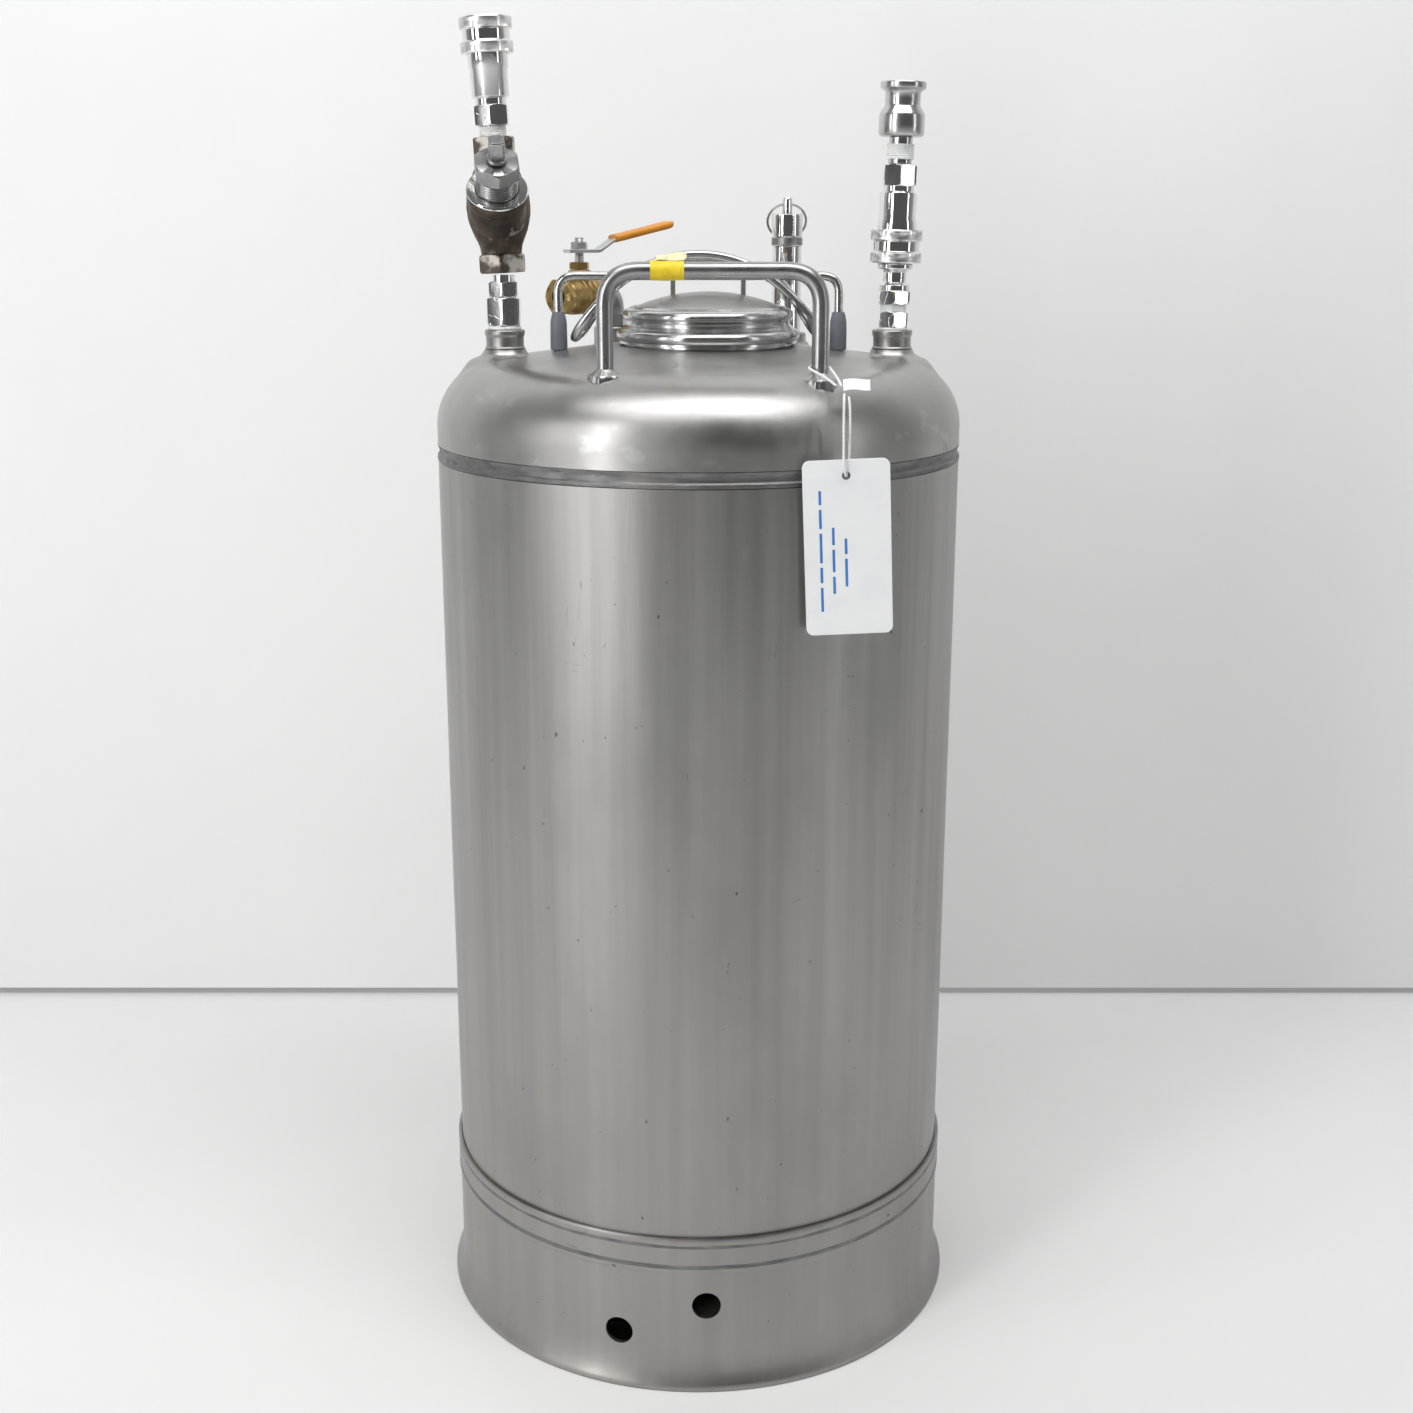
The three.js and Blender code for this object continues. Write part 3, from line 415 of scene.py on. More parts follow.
# ---------- mesh helpers ----------
def skinned(rings, closed=True):
    """A bmesh over rings of points; a one-point ring is a tip, and closed joins the last to the first."""
    bm = bmesh.new()
    made = [[bm.verts.new(point) for point in ring] for ring in rings]
    pairs = list(zip(made, made[1:])) + ([(made[-1], made[0])] if closed else [])
    sides = max(len(ring) for ring in rings)
    for a, b in pairs:
        if len(a) == len(b) == 1:
            continue
        for i in range(sides):
            j = (i + 1) % sides
            corners = dict.fromkeys((a[i % len(a)], a[j % len(a)], b[j % len(b)], b[i % len(b)]))
            bm.faces.new(list(corners))
    if not closed:
        for ring in (made[0], made[-1]):
            if len(ring) > 2:
                bm.faces.new(ring)
    bmesh.ops.recalc_face_normals(bm, faces=bm.faces)
    return bm


def turned(outline, sides=96, shape=None):
    """A closed (radius, height) outline turned about Z; shape may give a point another radius."""
    rings = []
    for radius, height in outline:
        if radius <= 0:
            rings.append([Vector((0, 0, height))])
            continue
        ring = []
        for i in range(sides):
            angle = FULL * i / sides
            reach = shape(angle, radius, height) if shape else radius
            ring.append(Vector((reach * math.cos(angle), reach * math.sin(angle), height)))
        rings.append(ring)
    return skinned(rings)


def circle(radius, height, sides, x=0):
    return [Vector((x + radius * math.cos(FULL * i / sides), radius * math.sin(FULL * i / sides), height))
            for i in range(sides)]


def tube(inner, outer, low, high, sides=96):
    return turned([(inner, low), (outer, low), (outer, high), (inner, high)], sides)


def rod(radius, low, high, sides=96):
    return turned([(0, low), (radius, low), (radius, high), (0, high)], sides)


def spaced(low, high, count):
    return [low + (high - low) * i / count for i in range(count + 1)]


def hex_bar(across, low, high, bore=0.0, sides=96):
    """A hexagonal nut or bar about Z, its corners cut back by a turned chamfer at both ends."""
    rim = across / 2
    corner = across / math.sqrt(3) * 1.01
    slope = 0.6
    chamfer = (corner - rim) * slope

    def shape(angle, radius, height):
        if radius < rim - 0.01:
            return radius
        sixth = (angle + math.pi / 6) % (math.pi / 3) - math.pi / 6
        end = min(height - low, high - height)
        return min(rim / math.cos(sixth), rim + end / slope)

    heights = spaced(low, low + chamfer, 5) + spaced(high - chamfer, high, 5)
    outline = [(bore, low)] + [(rim, height) for height in heights] + [(bore, high)]
    return turned(outline, sides, shape)


def joined(*parts):
    """Several bmeshes as one."""
    whole = bmesh.new()
    for part in parts:
        mesh = bpy.data.meshes.new("part")
        part.to_mesh(mesh)
        whole.from_mesh(mesh)
        part.free()
        bpy.data.meshes.remove(mesh)
    return whole


def moved(bm, place):
    bmesh.ops.transform(bm, matrix=place, verts=bm.verts)
    return bm


def zigzag(phase):
    """A wave that falls from 1 to 0 and climbs back over each whole step."""
    return abs(2 * (phase % 1.0) - 1)


def knurled(low, high, radius, count=84, depth=0.32):
    """Outline points and a shape function for a diamond-knurled ring face."""
    pitch = FULL * radius / count

    def shape(angle, reach, height):
        if reach < radius - 0.01 or not low <= height <= high:
            return reach
        across, up = angle / FULL * count, (height - low) / pitch
        return reach - depth * max(zigzag(across + up), zigzag(across - up))

    steps = max(4, round((high - low) / pitch * 4))
    return [(radius, height) for height in spaced(low, high, steps)], shape


def threaded(low, high, radius, pitch=1.4, depth=0.6):
    """Outline points and a shape function for a screw thread between two heights."""
    def shape(angle, reach, height):
        if not low < height < high or reach < radius - 0.01:
            return reach
        return reach - depth * zigzag(height / pitch - angle / FULL)

    return [(radius, height) for height in spaced(low, high, round((high - low) / pitch * 6))], shape


def wobbly(amount, size):
    """A shape function that makes a turned surface slightly uneven."""
    def shape(angle, radius, height):
        spot = Vector((radius * math.cos(angle), radius * math.sin(angle), height)) / size
        return radius + amount * noise.noise(spot)
    return shape


def swept(points, radius, sides=20, closed=False, shape=None):
    """A round bar along points; shape(share, angle) scales its radius."""
    count = len(points)
    side = None
    rings = []
    for i, point in enumerate(points):
        before = points[i - 1] if i or closed else point
        after = points[(i + 1) % count] if i < count - 1 or closed else point
        ahead = (after - before).normalized()
        if side is None:
            side = ahead.orthogonal()
        side = (side - ahead * side.dot(ahead)).normalized()
        other = ahead.cross(side)
        ring = []
        for k in range(sides):
            angle = FULL * k / sides
            reach = radius * (shape(i / (count - 1), angle) if shape else 1)
            ring.append(point + (side * math.cos(angle) + other * math.sin(angle)) * reach)
        rings.append(ring)
    return skinned_loop(rings) if closed else skinned(rings, closed=False)


def skinned_loop(rings):
    """A closed ring of sections; the last is turned to meet the first with the least twist."""
    first, last = rings[0], rings[-1]
    sides = len(first)

    def gap(k):
        return sum((first[i] - last[(i + k) % sides]).length for i in range(sides))

    turn = min(range(sides), key=gap)
    count = len(rings)
    for i, ring in enumerate(rings):
        share = round(turn * i / (count - 1))
        rings[i] = ring[share:] + ring[:share]
    return skinned(rings, closed=True)


def smooth_line(points, steps, closed=False):
    """A centripetal Catmull-Rom curve through the points, steps to each span."""
    count = len(points)

    def point(i):
        if closed:
            return points[i % count]
        if i < 0:
            return points[0] * 2 - points[1]
        if i >= count:
            return points[-1] * 2 - points[-2]
        return points[i]

    line = []
    spans = count if closed else count - 1
    for i in range(spans):
        p = [point(i + k) for k in (-1, 0, 1, 2)]
        t = [0.0]
        for a, b in zip(p, p[1:]):
            t.append(t[-1] + math.sqrt((b - a).length))
        for k in range(steps):
            u = t[1] + (t[2] - t[1]) * k / steps
            a1, a2, a3 = [p[j].lerp(p[j + 1], (u - t[j]) / (t[j + 1] - t[j])) for j in range(3)]
            b1 = a1.lerp(a2, (u - t[0]) / (t[2] - t[0]))
            b2 = a2.lerp(a3, (u - t[1]) / (t[3] - t[1]))
            line.append(b1.lerp(b2, (u - t[1]) / (t[2] - t[1])))
    return line if closed else line + [points[-1].copy()]


def bent_line(corners, bend, steps=12):
    """Straight runs joined by round bends."""
    line = [corners[0]]
    for before, corner, after in zip(corners, corners[1:], corners[2:]):
        start = corner + (before - corner).normalized() * bend
        end = corner + (after - corner).normalized() * bend
        for k in range(steps + 1):
            u = k / steps
            line.append(start * (1 - u) ** 2 + corner * 2 * u * (1 - u) + end * u ** 2)
    return line + [corners[-1]]


def slab(outline, low, high):
    """A flat plate: an outline of (x, y) between two heights."""
    rings = [[Vector((x, y, z)) for x, y in outline] for z in (low, high)]
    return skinned(rings, closed=False)


def arc(centre_x, centre_y, radius, start, end, steps=8):
    """Points of a round stretch, its start and end given in degrees."""
    return [(centre_x + radius * math.cos(math.radians(a)), centre_y + radius * math.sin(math.radians(a)))
            for a in spaced(start, end, steps)]


def rounded_plate(width, height, corner):
    """A rounded rectangle's outline, its middle at the origin."""
    x, y = width / 2 - corner, height / 2 - corner
    return (arc(x, y, corner, 0, 90) + arc(-x, y, corner, 90, 180)
            + arc(-x, -y, corner, 180, 270) + arc(x, -y, corner, 270, 360))


def carve(obj, cutters):
    """Cuts closed bmeshes out of an object and leaves the result as its own mesh."""
    tools = []
    for cutter in cutters:
        mesh = bpy.data.meshes.new("cutter")
        moved(cutter, TO_METRES).to_mesh(mesh)
        cutter.free()
        tool = new_object("cutter", mesh)
        change = obj.modifiers.new("cut", "BOOLEAN")
        change.operation = "DIFFERENCE"
        change.solver = "EXACT"
        change.object = tool
        tools.append(tool)
    settle(obj)
    for tool in tools:
        bpy.data.meshes.remove(tool.data)


def settle(obj):
    """Applies an object's modifiers to its mesh."""
    bpy.context.view_layer.update()
    shown = obj.evaluated_get(bpy.context.evaluated_depsgraph_get())
    mesh = bpy.data.meshes.new_from_object(shown)
    obj.modifiers.clear()
    obj.data = mesh


def raw_object(name, bm, place, finish):
    """An object in metres from a bmesh in millimetres, with one finish."""
    moved(bm, TO_METRES @ place)
    mesh = bpy.data.meshes.new(name)
    bm.to_mesh(mesh)
    bm.free()
    obj = new_object(name, mesh)
    mesh.materials.append(MATERIALS[finish])
    return obj


def smoothed(obj, bevel):
    """Smooth shading with crisp edges, and a small bevel in millimetres on every sharp edge."""
    mesh = obj.data
    mesh.polygons.foreach_set("use_smooth", [True] * len(mesh.polygons))
    if bevel:
        edge = obj.modifiers.new("bevel", "BEVEL")
        edge.width = bevel * MM
        edge.segments = 2
        edge.limit_method = "ANGLE"
        edge.angle_limit = SHARP
        edge.use_clamp_overlap = True
        edge.harden_normals = True
    else:
        mesh.set_sharp_from_angle(angle=SHARP)
    return obj


def stand_for(obj, name):
    """An object takes a CAD node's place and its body."""
    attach(obj, frame["nodes"][name]["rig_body"])
    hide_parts(name)


def piece(name, bm, place=Matrix(), bevel=0.3, finish=None, cutters=()):
    """A detailed piece that stands for the CAD node of the same name and rides on its body."""
    obj = raw_object(name + "_fine", bm, place, finish or SLOTS[name])
    if cutters:
        carve(obj, cutters)
    smoothed(obj, bevel)
    stand_for(obj, name)
    return obj


def extra(name, bm, near, place=Matrix(), bevel=0.3, finish=None):
    """A further detail that rides with the CAD node it belongs to."""
    slot = SLOTS[near]
    obj = smoothed(raw_object(name, bm, place, finish or slot), bevel)
    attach(obj, frame["nodes"][near]["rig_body"])
    return obj


# ---------- vessel ----------
def head_height(radius):
    """Height of the top head's outer face at a distance from the axis."""
    centre = SHELL_RADIUS - KNUCKLE_RADIUS
    slope = math.atan2(KNUCKLE_START + KNUCKLE_RADIUS - CROWN_HEIGHT, centre - CROWN_RADIUS)
    knuckle_end = centre - KNUCKLE_RADIUS * math.sin(slope)
    end_height = KNUCKLE_START + KNUCKLE_RADIUS * math.cos(slope)
    if radius >= knuckle_end:
        return KNUCKLE_START + math.sqrt(max(0, KNUCKLE_RADIUS ** 2 - (radius - centre) ** 2))
    if radius <= CROWN_RADIUS:
        return CROWN_HEIGHT
    share = (radius - CROWN_RADIUS) / (knuckle_end - CROWN_RADIUS)
    return CROWN_HEIGHT + (end_height - CROWN_HEIGHT) * share


def build_shell():
    heights = spaced(SHELL_BOTTOM, WELD_LOW - 0.3, 40)
    outline = ([(SHELL_RADIUS, z) for z in heights]
               + [(SHELL_RADIUS - WALL, heights[-1]), (SHELL_RADIUS - WALL, heights[0])])
    piece("outer_shell", turned(outline, FINE_SIDES, wobbly(0.22, 70)), bevel=0.4)

    def ripple(angle, radius, height):
        if radius < SHELL_RADIUS - 1:
            return radius
        return radius + 0.12 * math.sin(angle * 260) + 0.15 * noise.noise(Vector((angle * 30, height, 0)))

    inner = SHELL_RADIUS - WALL
    weld = [(inner, WELD_LOW), (165.3, WELD_LOW), (165.5, 569), (165.3, 570.2), (164.3, 571.2),
            (164.1, 573), (164.2, 575), (165, 576.2), (165.1, WELD_HIGH), (inner, WELD_HIGH)]
    piece("shoulder_weld_band", turned(weld, 520, ripple), bevel=0)


def build_head():
    sides = 320
    rings = []

    def ring(radius, height):
        rings.append(circle(radius, height, sides))

    edge = WELD_HIGH + 0.3
    ring(SHELL_RADIUS - WALL, edge)
    for height in spaced(edge, KNUCKLE_START, 3):
        ring(SHELL_RADIUS, height)
    centre = SHELL_RADIUS - KNUCKLE_RADIUS
    for angle in spaced(3, 82.35, 26):
        reach = math.radians(angle)
        ring(centre + KNUCKLE_RADIUS * math.cos(reach), KNUCKLE_START + KNUCKLE_RADIUS * math.sin(reach))
    cone_start, outside = 116, 76
    for radius in spaced(cone_start, outside, 8):
        ring(radius, head_height(radius))
    hole = COLLAR_NECK + 0.3
    for share in spaced(0.2, 1, 5):
        row = []
        for i, outer in enumerate(circle(outside, 0, sides)):
            angle = FULL * i / sides
            oval = Vector((HATCH_X + hole * math.cos(angle), hole * HATCH_OVAL * math.sin(angle), 0))
            spot = outer.lerp(oval, share)
            spot.z = head_height(spot.length)
            row.append(spot)
        rings.append(row)
    rings.append([point - UP * WALL for point in rings[-1]])
    ring(outside + 6, head_height(outside + 6) - WALL)
    for angle in spaced(82, 0, 10):
        reach = math.radians(angle)
        inner = KNUCKLE_RADIUS - WALL
        ring(centre + inner * math.cos(reach), KNUCKLE_START + inner * math.sin(reach))
    head = skinned(rings)
    necks = [neck(side * PORT_X) for side in (-1, 1)]
    piece("top_head", joined(head, *necks), bevel=0, finish="head_steel")


def neck(port_x):
    """A drawn port neck that flows out of the head."""
    sides = 96
    foot, tip, top, bore = 31, 13, 634, 9
    line = [(foot, 626), (29, 624.6), (27, 624.9), (25, 626), (23, 627.1), (21, 628), (19, 628.7),
            (17.5, 629.3), (16, 630), (15, 630.7), (14.2, 631.6), (13.5, 632.8), (tip, top)]
    rings = []
    for radius, height in line:
        share = min(1, (foot - radius) / 10)
        weight = share * share * (3 - 2 * share)
        row = circle(radius, 0, sides, port_x)
        for spot in row:
            base = head_height(spot.length) + 0.02
            spot.z = base + (max(height, base) - base) * weight
        rings.append(row)
    for radius, drop in ((bore, 0), (bore, -9), (foot - 2, -4)):
        row = circle(radius, top + drop, sides, port_x)
        for spot in row:
            if radius > tip:
                spot.z = head_height(spot.length) + drop
        rings.append(row)
    return skinned(rings)


def build_skirt():
    inner = SKIRT_RADIUS - WALL
    flare = [(FLARE_RADIUS - 5.5, 0), (FLARE_RADIUS - 0.6, 0), (FLARE_RADIUS, 0.8), (FLARE_RADIUS, 2.6),
             (171.2, 4.4), (170.2, 6.8), (169.1, 9.8), (168.2, 13), (167.4, 17), (166.8, 20.5),
             (SKIRT_RADIUS, 24)]
    outline = (flare + [(SKIRT_RADIUS, z) for z in spaced(28, SKIRT_TOP, 9)]
               + [(inner, SKIRT_TOP), (inner, 24), (164.6, 15), (FLARE_RADIUS - 6, 8)])
    drills = []
    for x, z in DRAIN_HOLES:
        turn = Matrix.Rotation(math.asin(x / SKIRT_RADIUS), 4, "Z")
        y = -math.sqrt(SKIRT_RADIUS ** 2 - x ** 2)
        drill = rod(DRAIN_HOLE_RADIUS, -30, 30, 64)
        drills.append(moved(drill, at(x * 0.98, y * 0.98, z) @ turn @ ALONG_Y))
    piece("foot_skirt", turned(outline, FINE_SIDES, wobbly(0.15, 60)), bevel=0.35, cutters=drills)
    back, low = 165.3, SKIRT_TOP + 0.3
    band = [(back, low), (BAND_RADIUS - 0.5, low), (BAND_RADIUS, 81.4), (167.3, 84)]
    band += [(BAND_RADIUS - 0.2, z) for z in spaced(86, 99, 5)]
    band += [(BAND_RADIUS, 101), (BAND_RADIUS, 103.4), (167, BAND_TOP), (back, BAND_TOP)]
    piece("skirt_lap_band", turned(band, FINE_SIDES, wobbly(0.12, 40)), bevel=0, finish="satin_steel")
    for name, low, high in (("band_seam_low", 83.4, 86.8), ("band_seam_high", 97.6, 100.6)):
        line = [(166.9, low), (167.38, low + 0.3), (167.42, high - 0.3), (166.9, high)]
        extra(name, turned(line, FINE_SIDES), "skirt_lap_band", bevel=0, finish="weld_steel")


def build_hatch():
    collar = [(COLLAR_BORE, COLLAR_FOOT), (COLLAR_NECK, COLLAR_FOOT), (COLLAR_NECK, 638.2), (55.6, 638.3)]
    collar += arc(53.6, 643.2, 3.9, -62, 74, 12)
    collar += [(53.4, 648), (51.8, 649.5), (51.6, 650.6)]
    collar += arc(49.4, 655.4, 4.1, -52, 92, 12)
    collar += [(48.2, 660.6), (COLLAR_BORE, 659.8)]
    piece("mouth_collar", turned(collar, 224, wobbly(0.2, 14)), HATCH, bevel=0)

    rise = LID_TOP - LID_EDGE
    sphere = (LID_RADIUS ** 2 + rise ** 2) / (2 * rise)
    outer = [(r, LID_TOP - sphere + math.sqrt(sphere ** 2 - r ** 2)) for r in spaced(0, 43.5, 16)]
    inner = [(r, z - WALL) for r, z in reversed(outer)]
    edge = [(45.2, 659.9), (46.1, 658.9), (LID_RADIUS, 657.4), (LID_RADIUS, 648), (LID_RADIUS - WALL, 648),
            (LID_RADIUS - WALL, 656)]
    dome = moved(turned(outer + edge + inner, 192, wobbly(0.15, 16)), HATCH)
    lugs = []
    upright = Matrix(((0, 0, 1, 0), (1, 0, 0, 0), (0, 1, 0, 0), (0, 0, 0, 1)))
    for side in (-1, 1):
        outline = [(-LUG_RADIUS, LID_EDGE + 3), (LUG_RADIUS, LID_EDGE + 3)]
        outline += arc(0, BAIL_AXIS_Z, LUG_RADIUS, 0, 180, 20)
        lug = slab(outline, -1.5, 1.5)
        middle = at(HATCH_X + side * LUG_X)
        lugs.append(moved(lug, middle @ upright))
        lugs.append(moved(tube(4.4, 6.4, LID_EDGE + 5.4, LID_EDGE + 7.2, 32), middle))
    eye = moved(rod(3.15, -60, 60, 40), at(0, 0, BAIL_AXIS_Z) @ ALONG_X)
    piece("lid", joined(dome, *lugs), bevel=0.3, finish="head_steel", cutters=[eye])


def build_bail():
    half, tip_z = 6.6, 641
    shares = spaced(-1, 1, 7)

    def arch(y, foot_z, rise, power, along):
        return [Vector((t * (BAIL_LOOP_X - 5), y, foot_z + rise * (1 - abs(t) ** power))) for t in along]

    points = arch(-half, 650, 42, 2.2, shares) + [Vector((BAIL_LOOP_X, 0, tip_z))]
    points += arch(half, 645, 43, 3.4, reversed(shares)) + [Vector((-BAIL_LOOP_X, 0, tip_z))]
    loop = swept(smooth_line(points, 12, closed=True), BAIL_WIRE, 20, closed=True)
    foot, reach = 643, BAIL_FOOT_X
    route = ((-reach, foot), (-reach, BAIL_AXIS_Z), (reach, BAIL_AXIS_Z), (reach, foot))
    corners = [Vector((x, 0, z)) for x, z in route]
    cross = swept(bent_line(corners, 11), BAIL_WIRE, 20)
    bridges = []
    outline = [(0, -5.5), (2.9, -5.5), (2.6, -4), (2.2, -3), (2.2, 3), (2.6, 4), (2.9, 5.5), (0, 5.5)]
    for x in (-44, 44):
        place = at(x, 0, BAIL_AXIS_Z - 1) @ ALONG_Y
        bridges.append(moved(turned(outline, 24), place))
    piece("bail", joined(loop, cross, *bridges), bevel=0)
    low, socket = 633.1, 3.05
    outline = [(0, low), (4.2, low), (5, low + 0.5), (5.4, low + 1.6), (5.3, 645), (5.2, 650.5),
               (4.9, 652.4), (4.4, 654.6), (4, 656), (3.7, 656.9), (socket, 657), (socket, 642.7), (0, 642.7)]
    for name, side in (("bail_boot_left", -1), ("bail_boot_right", 1)):
        piece(name, turned(outline, 48), at(side * BAIL_FOOT_X), bevel=0.15)


def build_handle():
    left, right = HANDLE_X - HANDLE_HALF, HANDLE_X + HANDLE_HALF
    route = ((left, HANDLE_FOOT), (left, HANDLE_TOP), (right, HANDLE_TOP), (right, HANDLE_FOOT))
    corners = [Vector((x, HANDLE_Y, z)) for x, z in route]
    bar = swept(bent_line(corners, HANDLE_BEND, 20), HANDLE_ROD, 32)
    beads = []

    def lumpy(angle, radius, height):
        if radius < HANDLE_ROD:
            return radius
        return radius * (1 + 0.03 * math.sin(angle * 13)) + 1.1 * noise.noise(
            Vector((math.cos(angle) * 1.7, math.sin(angle) * 1.7, 0)))

    for x in (left, right):
        foot = head_height(math.hypot(x, HANDLE_Y))
        flow = ((0, -9), (10.4, -9), (10.6, -3), (10, -0.6), (8.8, 0.5), (7.4, 1.2), (6.2, 1.9), (5.3, 2.9),
                (4.4, 3.6), (0, 3.6))
        outline = [(radius, foot + rise) for radius, rise in flow]
        beads.append(moved(turned(outline, 72, lumpy), at(x, HANDLE_Y)))
    piece("carry_handle", joined(bar, *beads), bevel=0, finish="handle_steel")

    tape_inner, tape_outer = HANDLE_ROD + 0.2, HANDLE_ROD + 0.75

    def creased(angle, radius, height):
        if radius < tape_outer:
            return radius
        spot = Vector((math.cos(angle) * 1.6, math.sin(angle) * 1.6, height * 0.22))
        return radius + 0.35 * noise.noise(spot)

    outline = [(tape_inner, TAPE_START)] + [(tape_outer, x) for x in spaced(TAPE_START, TAPE_END, 24)]
    outline += [(tape_inner, TAPE_END)]
    piece("handle_tape", turned(outline, 72, creased), at(0, HANDLE_Y, HANDLE_TOP) @ ALONG_X, bevel=0)
    rows = []
    for along in spaced(0, 1, 14):
        row = []
        for across in spaced(0, 1, 8):
            x = -25 + 17 * along + 1.5 * math.sin(across * 3)
            lift = across ** 1.4 * (2.2 + 2.2 * along) + 0.3 * math.sin(along * 7 + across * 3)
            row.append(Vector((x, HANDLE_Y - 2.2 + 6.5 * across, HANDLE_TOP + tape_outer + lift)))
        rows.append(row)
    extra("tape_flap", skin_sheet(rows, 0.18), "handle_tape", bevel=0, finish="pale_tape")


def skin_sheet(rows, thickness):
    """A thin closed sheet over a grid of points."""
    rings = [row + [point + UP * thickness for point in reversed(row)] for row in rows]
    return skinned(rings, closed=False)


# ---------- fittings ----------
def port_boss(name, x):
    bore = 9
    outline = [(bore, 634.3), (12.4, 634.3), (12.6, 635), (11.9, 635.8), (11.8, 636.5), (11.8, 641.4),
               (12, 642.2), (12.5, 642.9), (12.6, 643.6), (12.6, 645.4), (12.2, 646), (bore, 646)]
    piece(name, turned(outline), at(x), bevel=0.15)


def welded_boss(name, x, y, radius, top, toe):
    """A pipe boss on the head; toe is how high its weld's outer edge stands."""
    bore = 7.2
    foot = head_height(math.hypot(x, y)) - 2.5
    outline = [(bore, foot), (radius + 2.4, foot + toe), (radius + 1.6, foot + 3.2), (radius + 0.4, foot + 4),
               (radius, foot + 5), (radius, top - 0.8), (radius - 0.6, top), (bore, top)]
    piece(name, turned(outline, 72, wobbly(0.3, 5)), at(x, y), bevel=0.2)


def coupler_body(name, place, waist, waist_length, barrel_length, step_length, sleeve_length, bore=5):
    """A hexagon up to waist, then the stepped barrel; returns where the sleeve starts."""
    barrel = waist + waist_length
    step = barrel + barrel_length
    start = step + step_length
    mouth = start + sleeve_length
    outline = [(bore, waist - 1), (9.3, waist - 1), (9.5, waist + 0.3), (9.5, barrel - 1),
               (11.2, barrel - 0.3), (11.5, barrel + 0.4), (11.5, step - 1.2), (12.2, step),
               (12.2, mouth - 1.8), (11.4, mouth - 0.5), (9.4, mouth - 0.5), (9, mouth - 1),
               (9, barrel + 6), (bore, barrel + 5)]
    body = joined(hex_bar(20, 0, waist, bore), turned(outline))
    piece(name, body, place, bevel=0.25)
    return start


def coupler_sleeve(name, place, start, length):
    """A sleeve with two knurled rings and a groove between them."""
    bore, edge, outside = 12.6, 0.7, 16
    ring = length / 3
    low_face, low_shape = knurled(start + edge, start + ring - edge, outside)
    high_face, high_shape = knurled(start + 2 * ring + edge, start + length - edge, outside)
    outline = [(bore, start), (15.4, start)] + low_face
    outline += [(15.2, start + ring), (14.4, start + ring + 0.5), (14.4, start + 2 * ring - 0.5),
                (15.2, start + 2 * ring)]
    outline += high_face + [(15.4, start + length), (bore, start + length)]

    def shape(angle, radius, height):
        chosen = low_shape if height < start + 1.5 * ring else high_shape
        return chosen(angle, radius, height)

    piece(name, turned(outline, 336, shape), place, bevel=0)


def build_left_stack():
    port_boss("liquid_port_boss", -PORT_X)
    port = at(-PORT_X)
    piece("liquid_hex_bushing", joined(hex_bar(20, 648.6, 666, 5), tube(5, 8.6, 638, 648.9)), port)
    tape = [(8.9, 646.3), (10.3, 646.3), (10.6, 646.9), (10.5, 647.7), (10, 648.3), (8.9, 648.3)]
    piece("liquid_port_tape", turned(tape, 96, wobbly(0.3, 3)), port, bevel=0)
    piece("liquid_hex_nipple", joined(hex_bar(17.5, 666.3, 675.6, 4.5), tube(4.5, 7, 675.3, 679.6)), port)
    build_cast_valve()
    face, shape = threaded(82.5, 88, 8.4, 1.3, 0.5)
    tape = [(7.3, 82.3), (8.1, 82.3)] + face + [(7.3, 88)]
    piece("coupler_thread_tape", turned(tape, 96, shape), LEFT_GROUP, bevel=0)
    piece("coupler_close_nipple", tube(4.6, 6.7, 74, 93), LEFT_GROUP)
    start = coupler_body("left_coupler_body", LEFT_COUPLER, 12.5, 4.5, 17, 8, 21, 7)
    coupler_sleeve("left_coupler_sleeve", LEFT_COUPLER, start, 21)
    outline = [(0, start - 6), (8.2, start - 6), (8.2, start + 2), (7.2, start + 3.6), (5, start + 6),
               (2.5, start + 6.8), (0, start + 7)]
    piece("left_coupler_poppet", turned(outline, 64), LEFT_COUPLER)


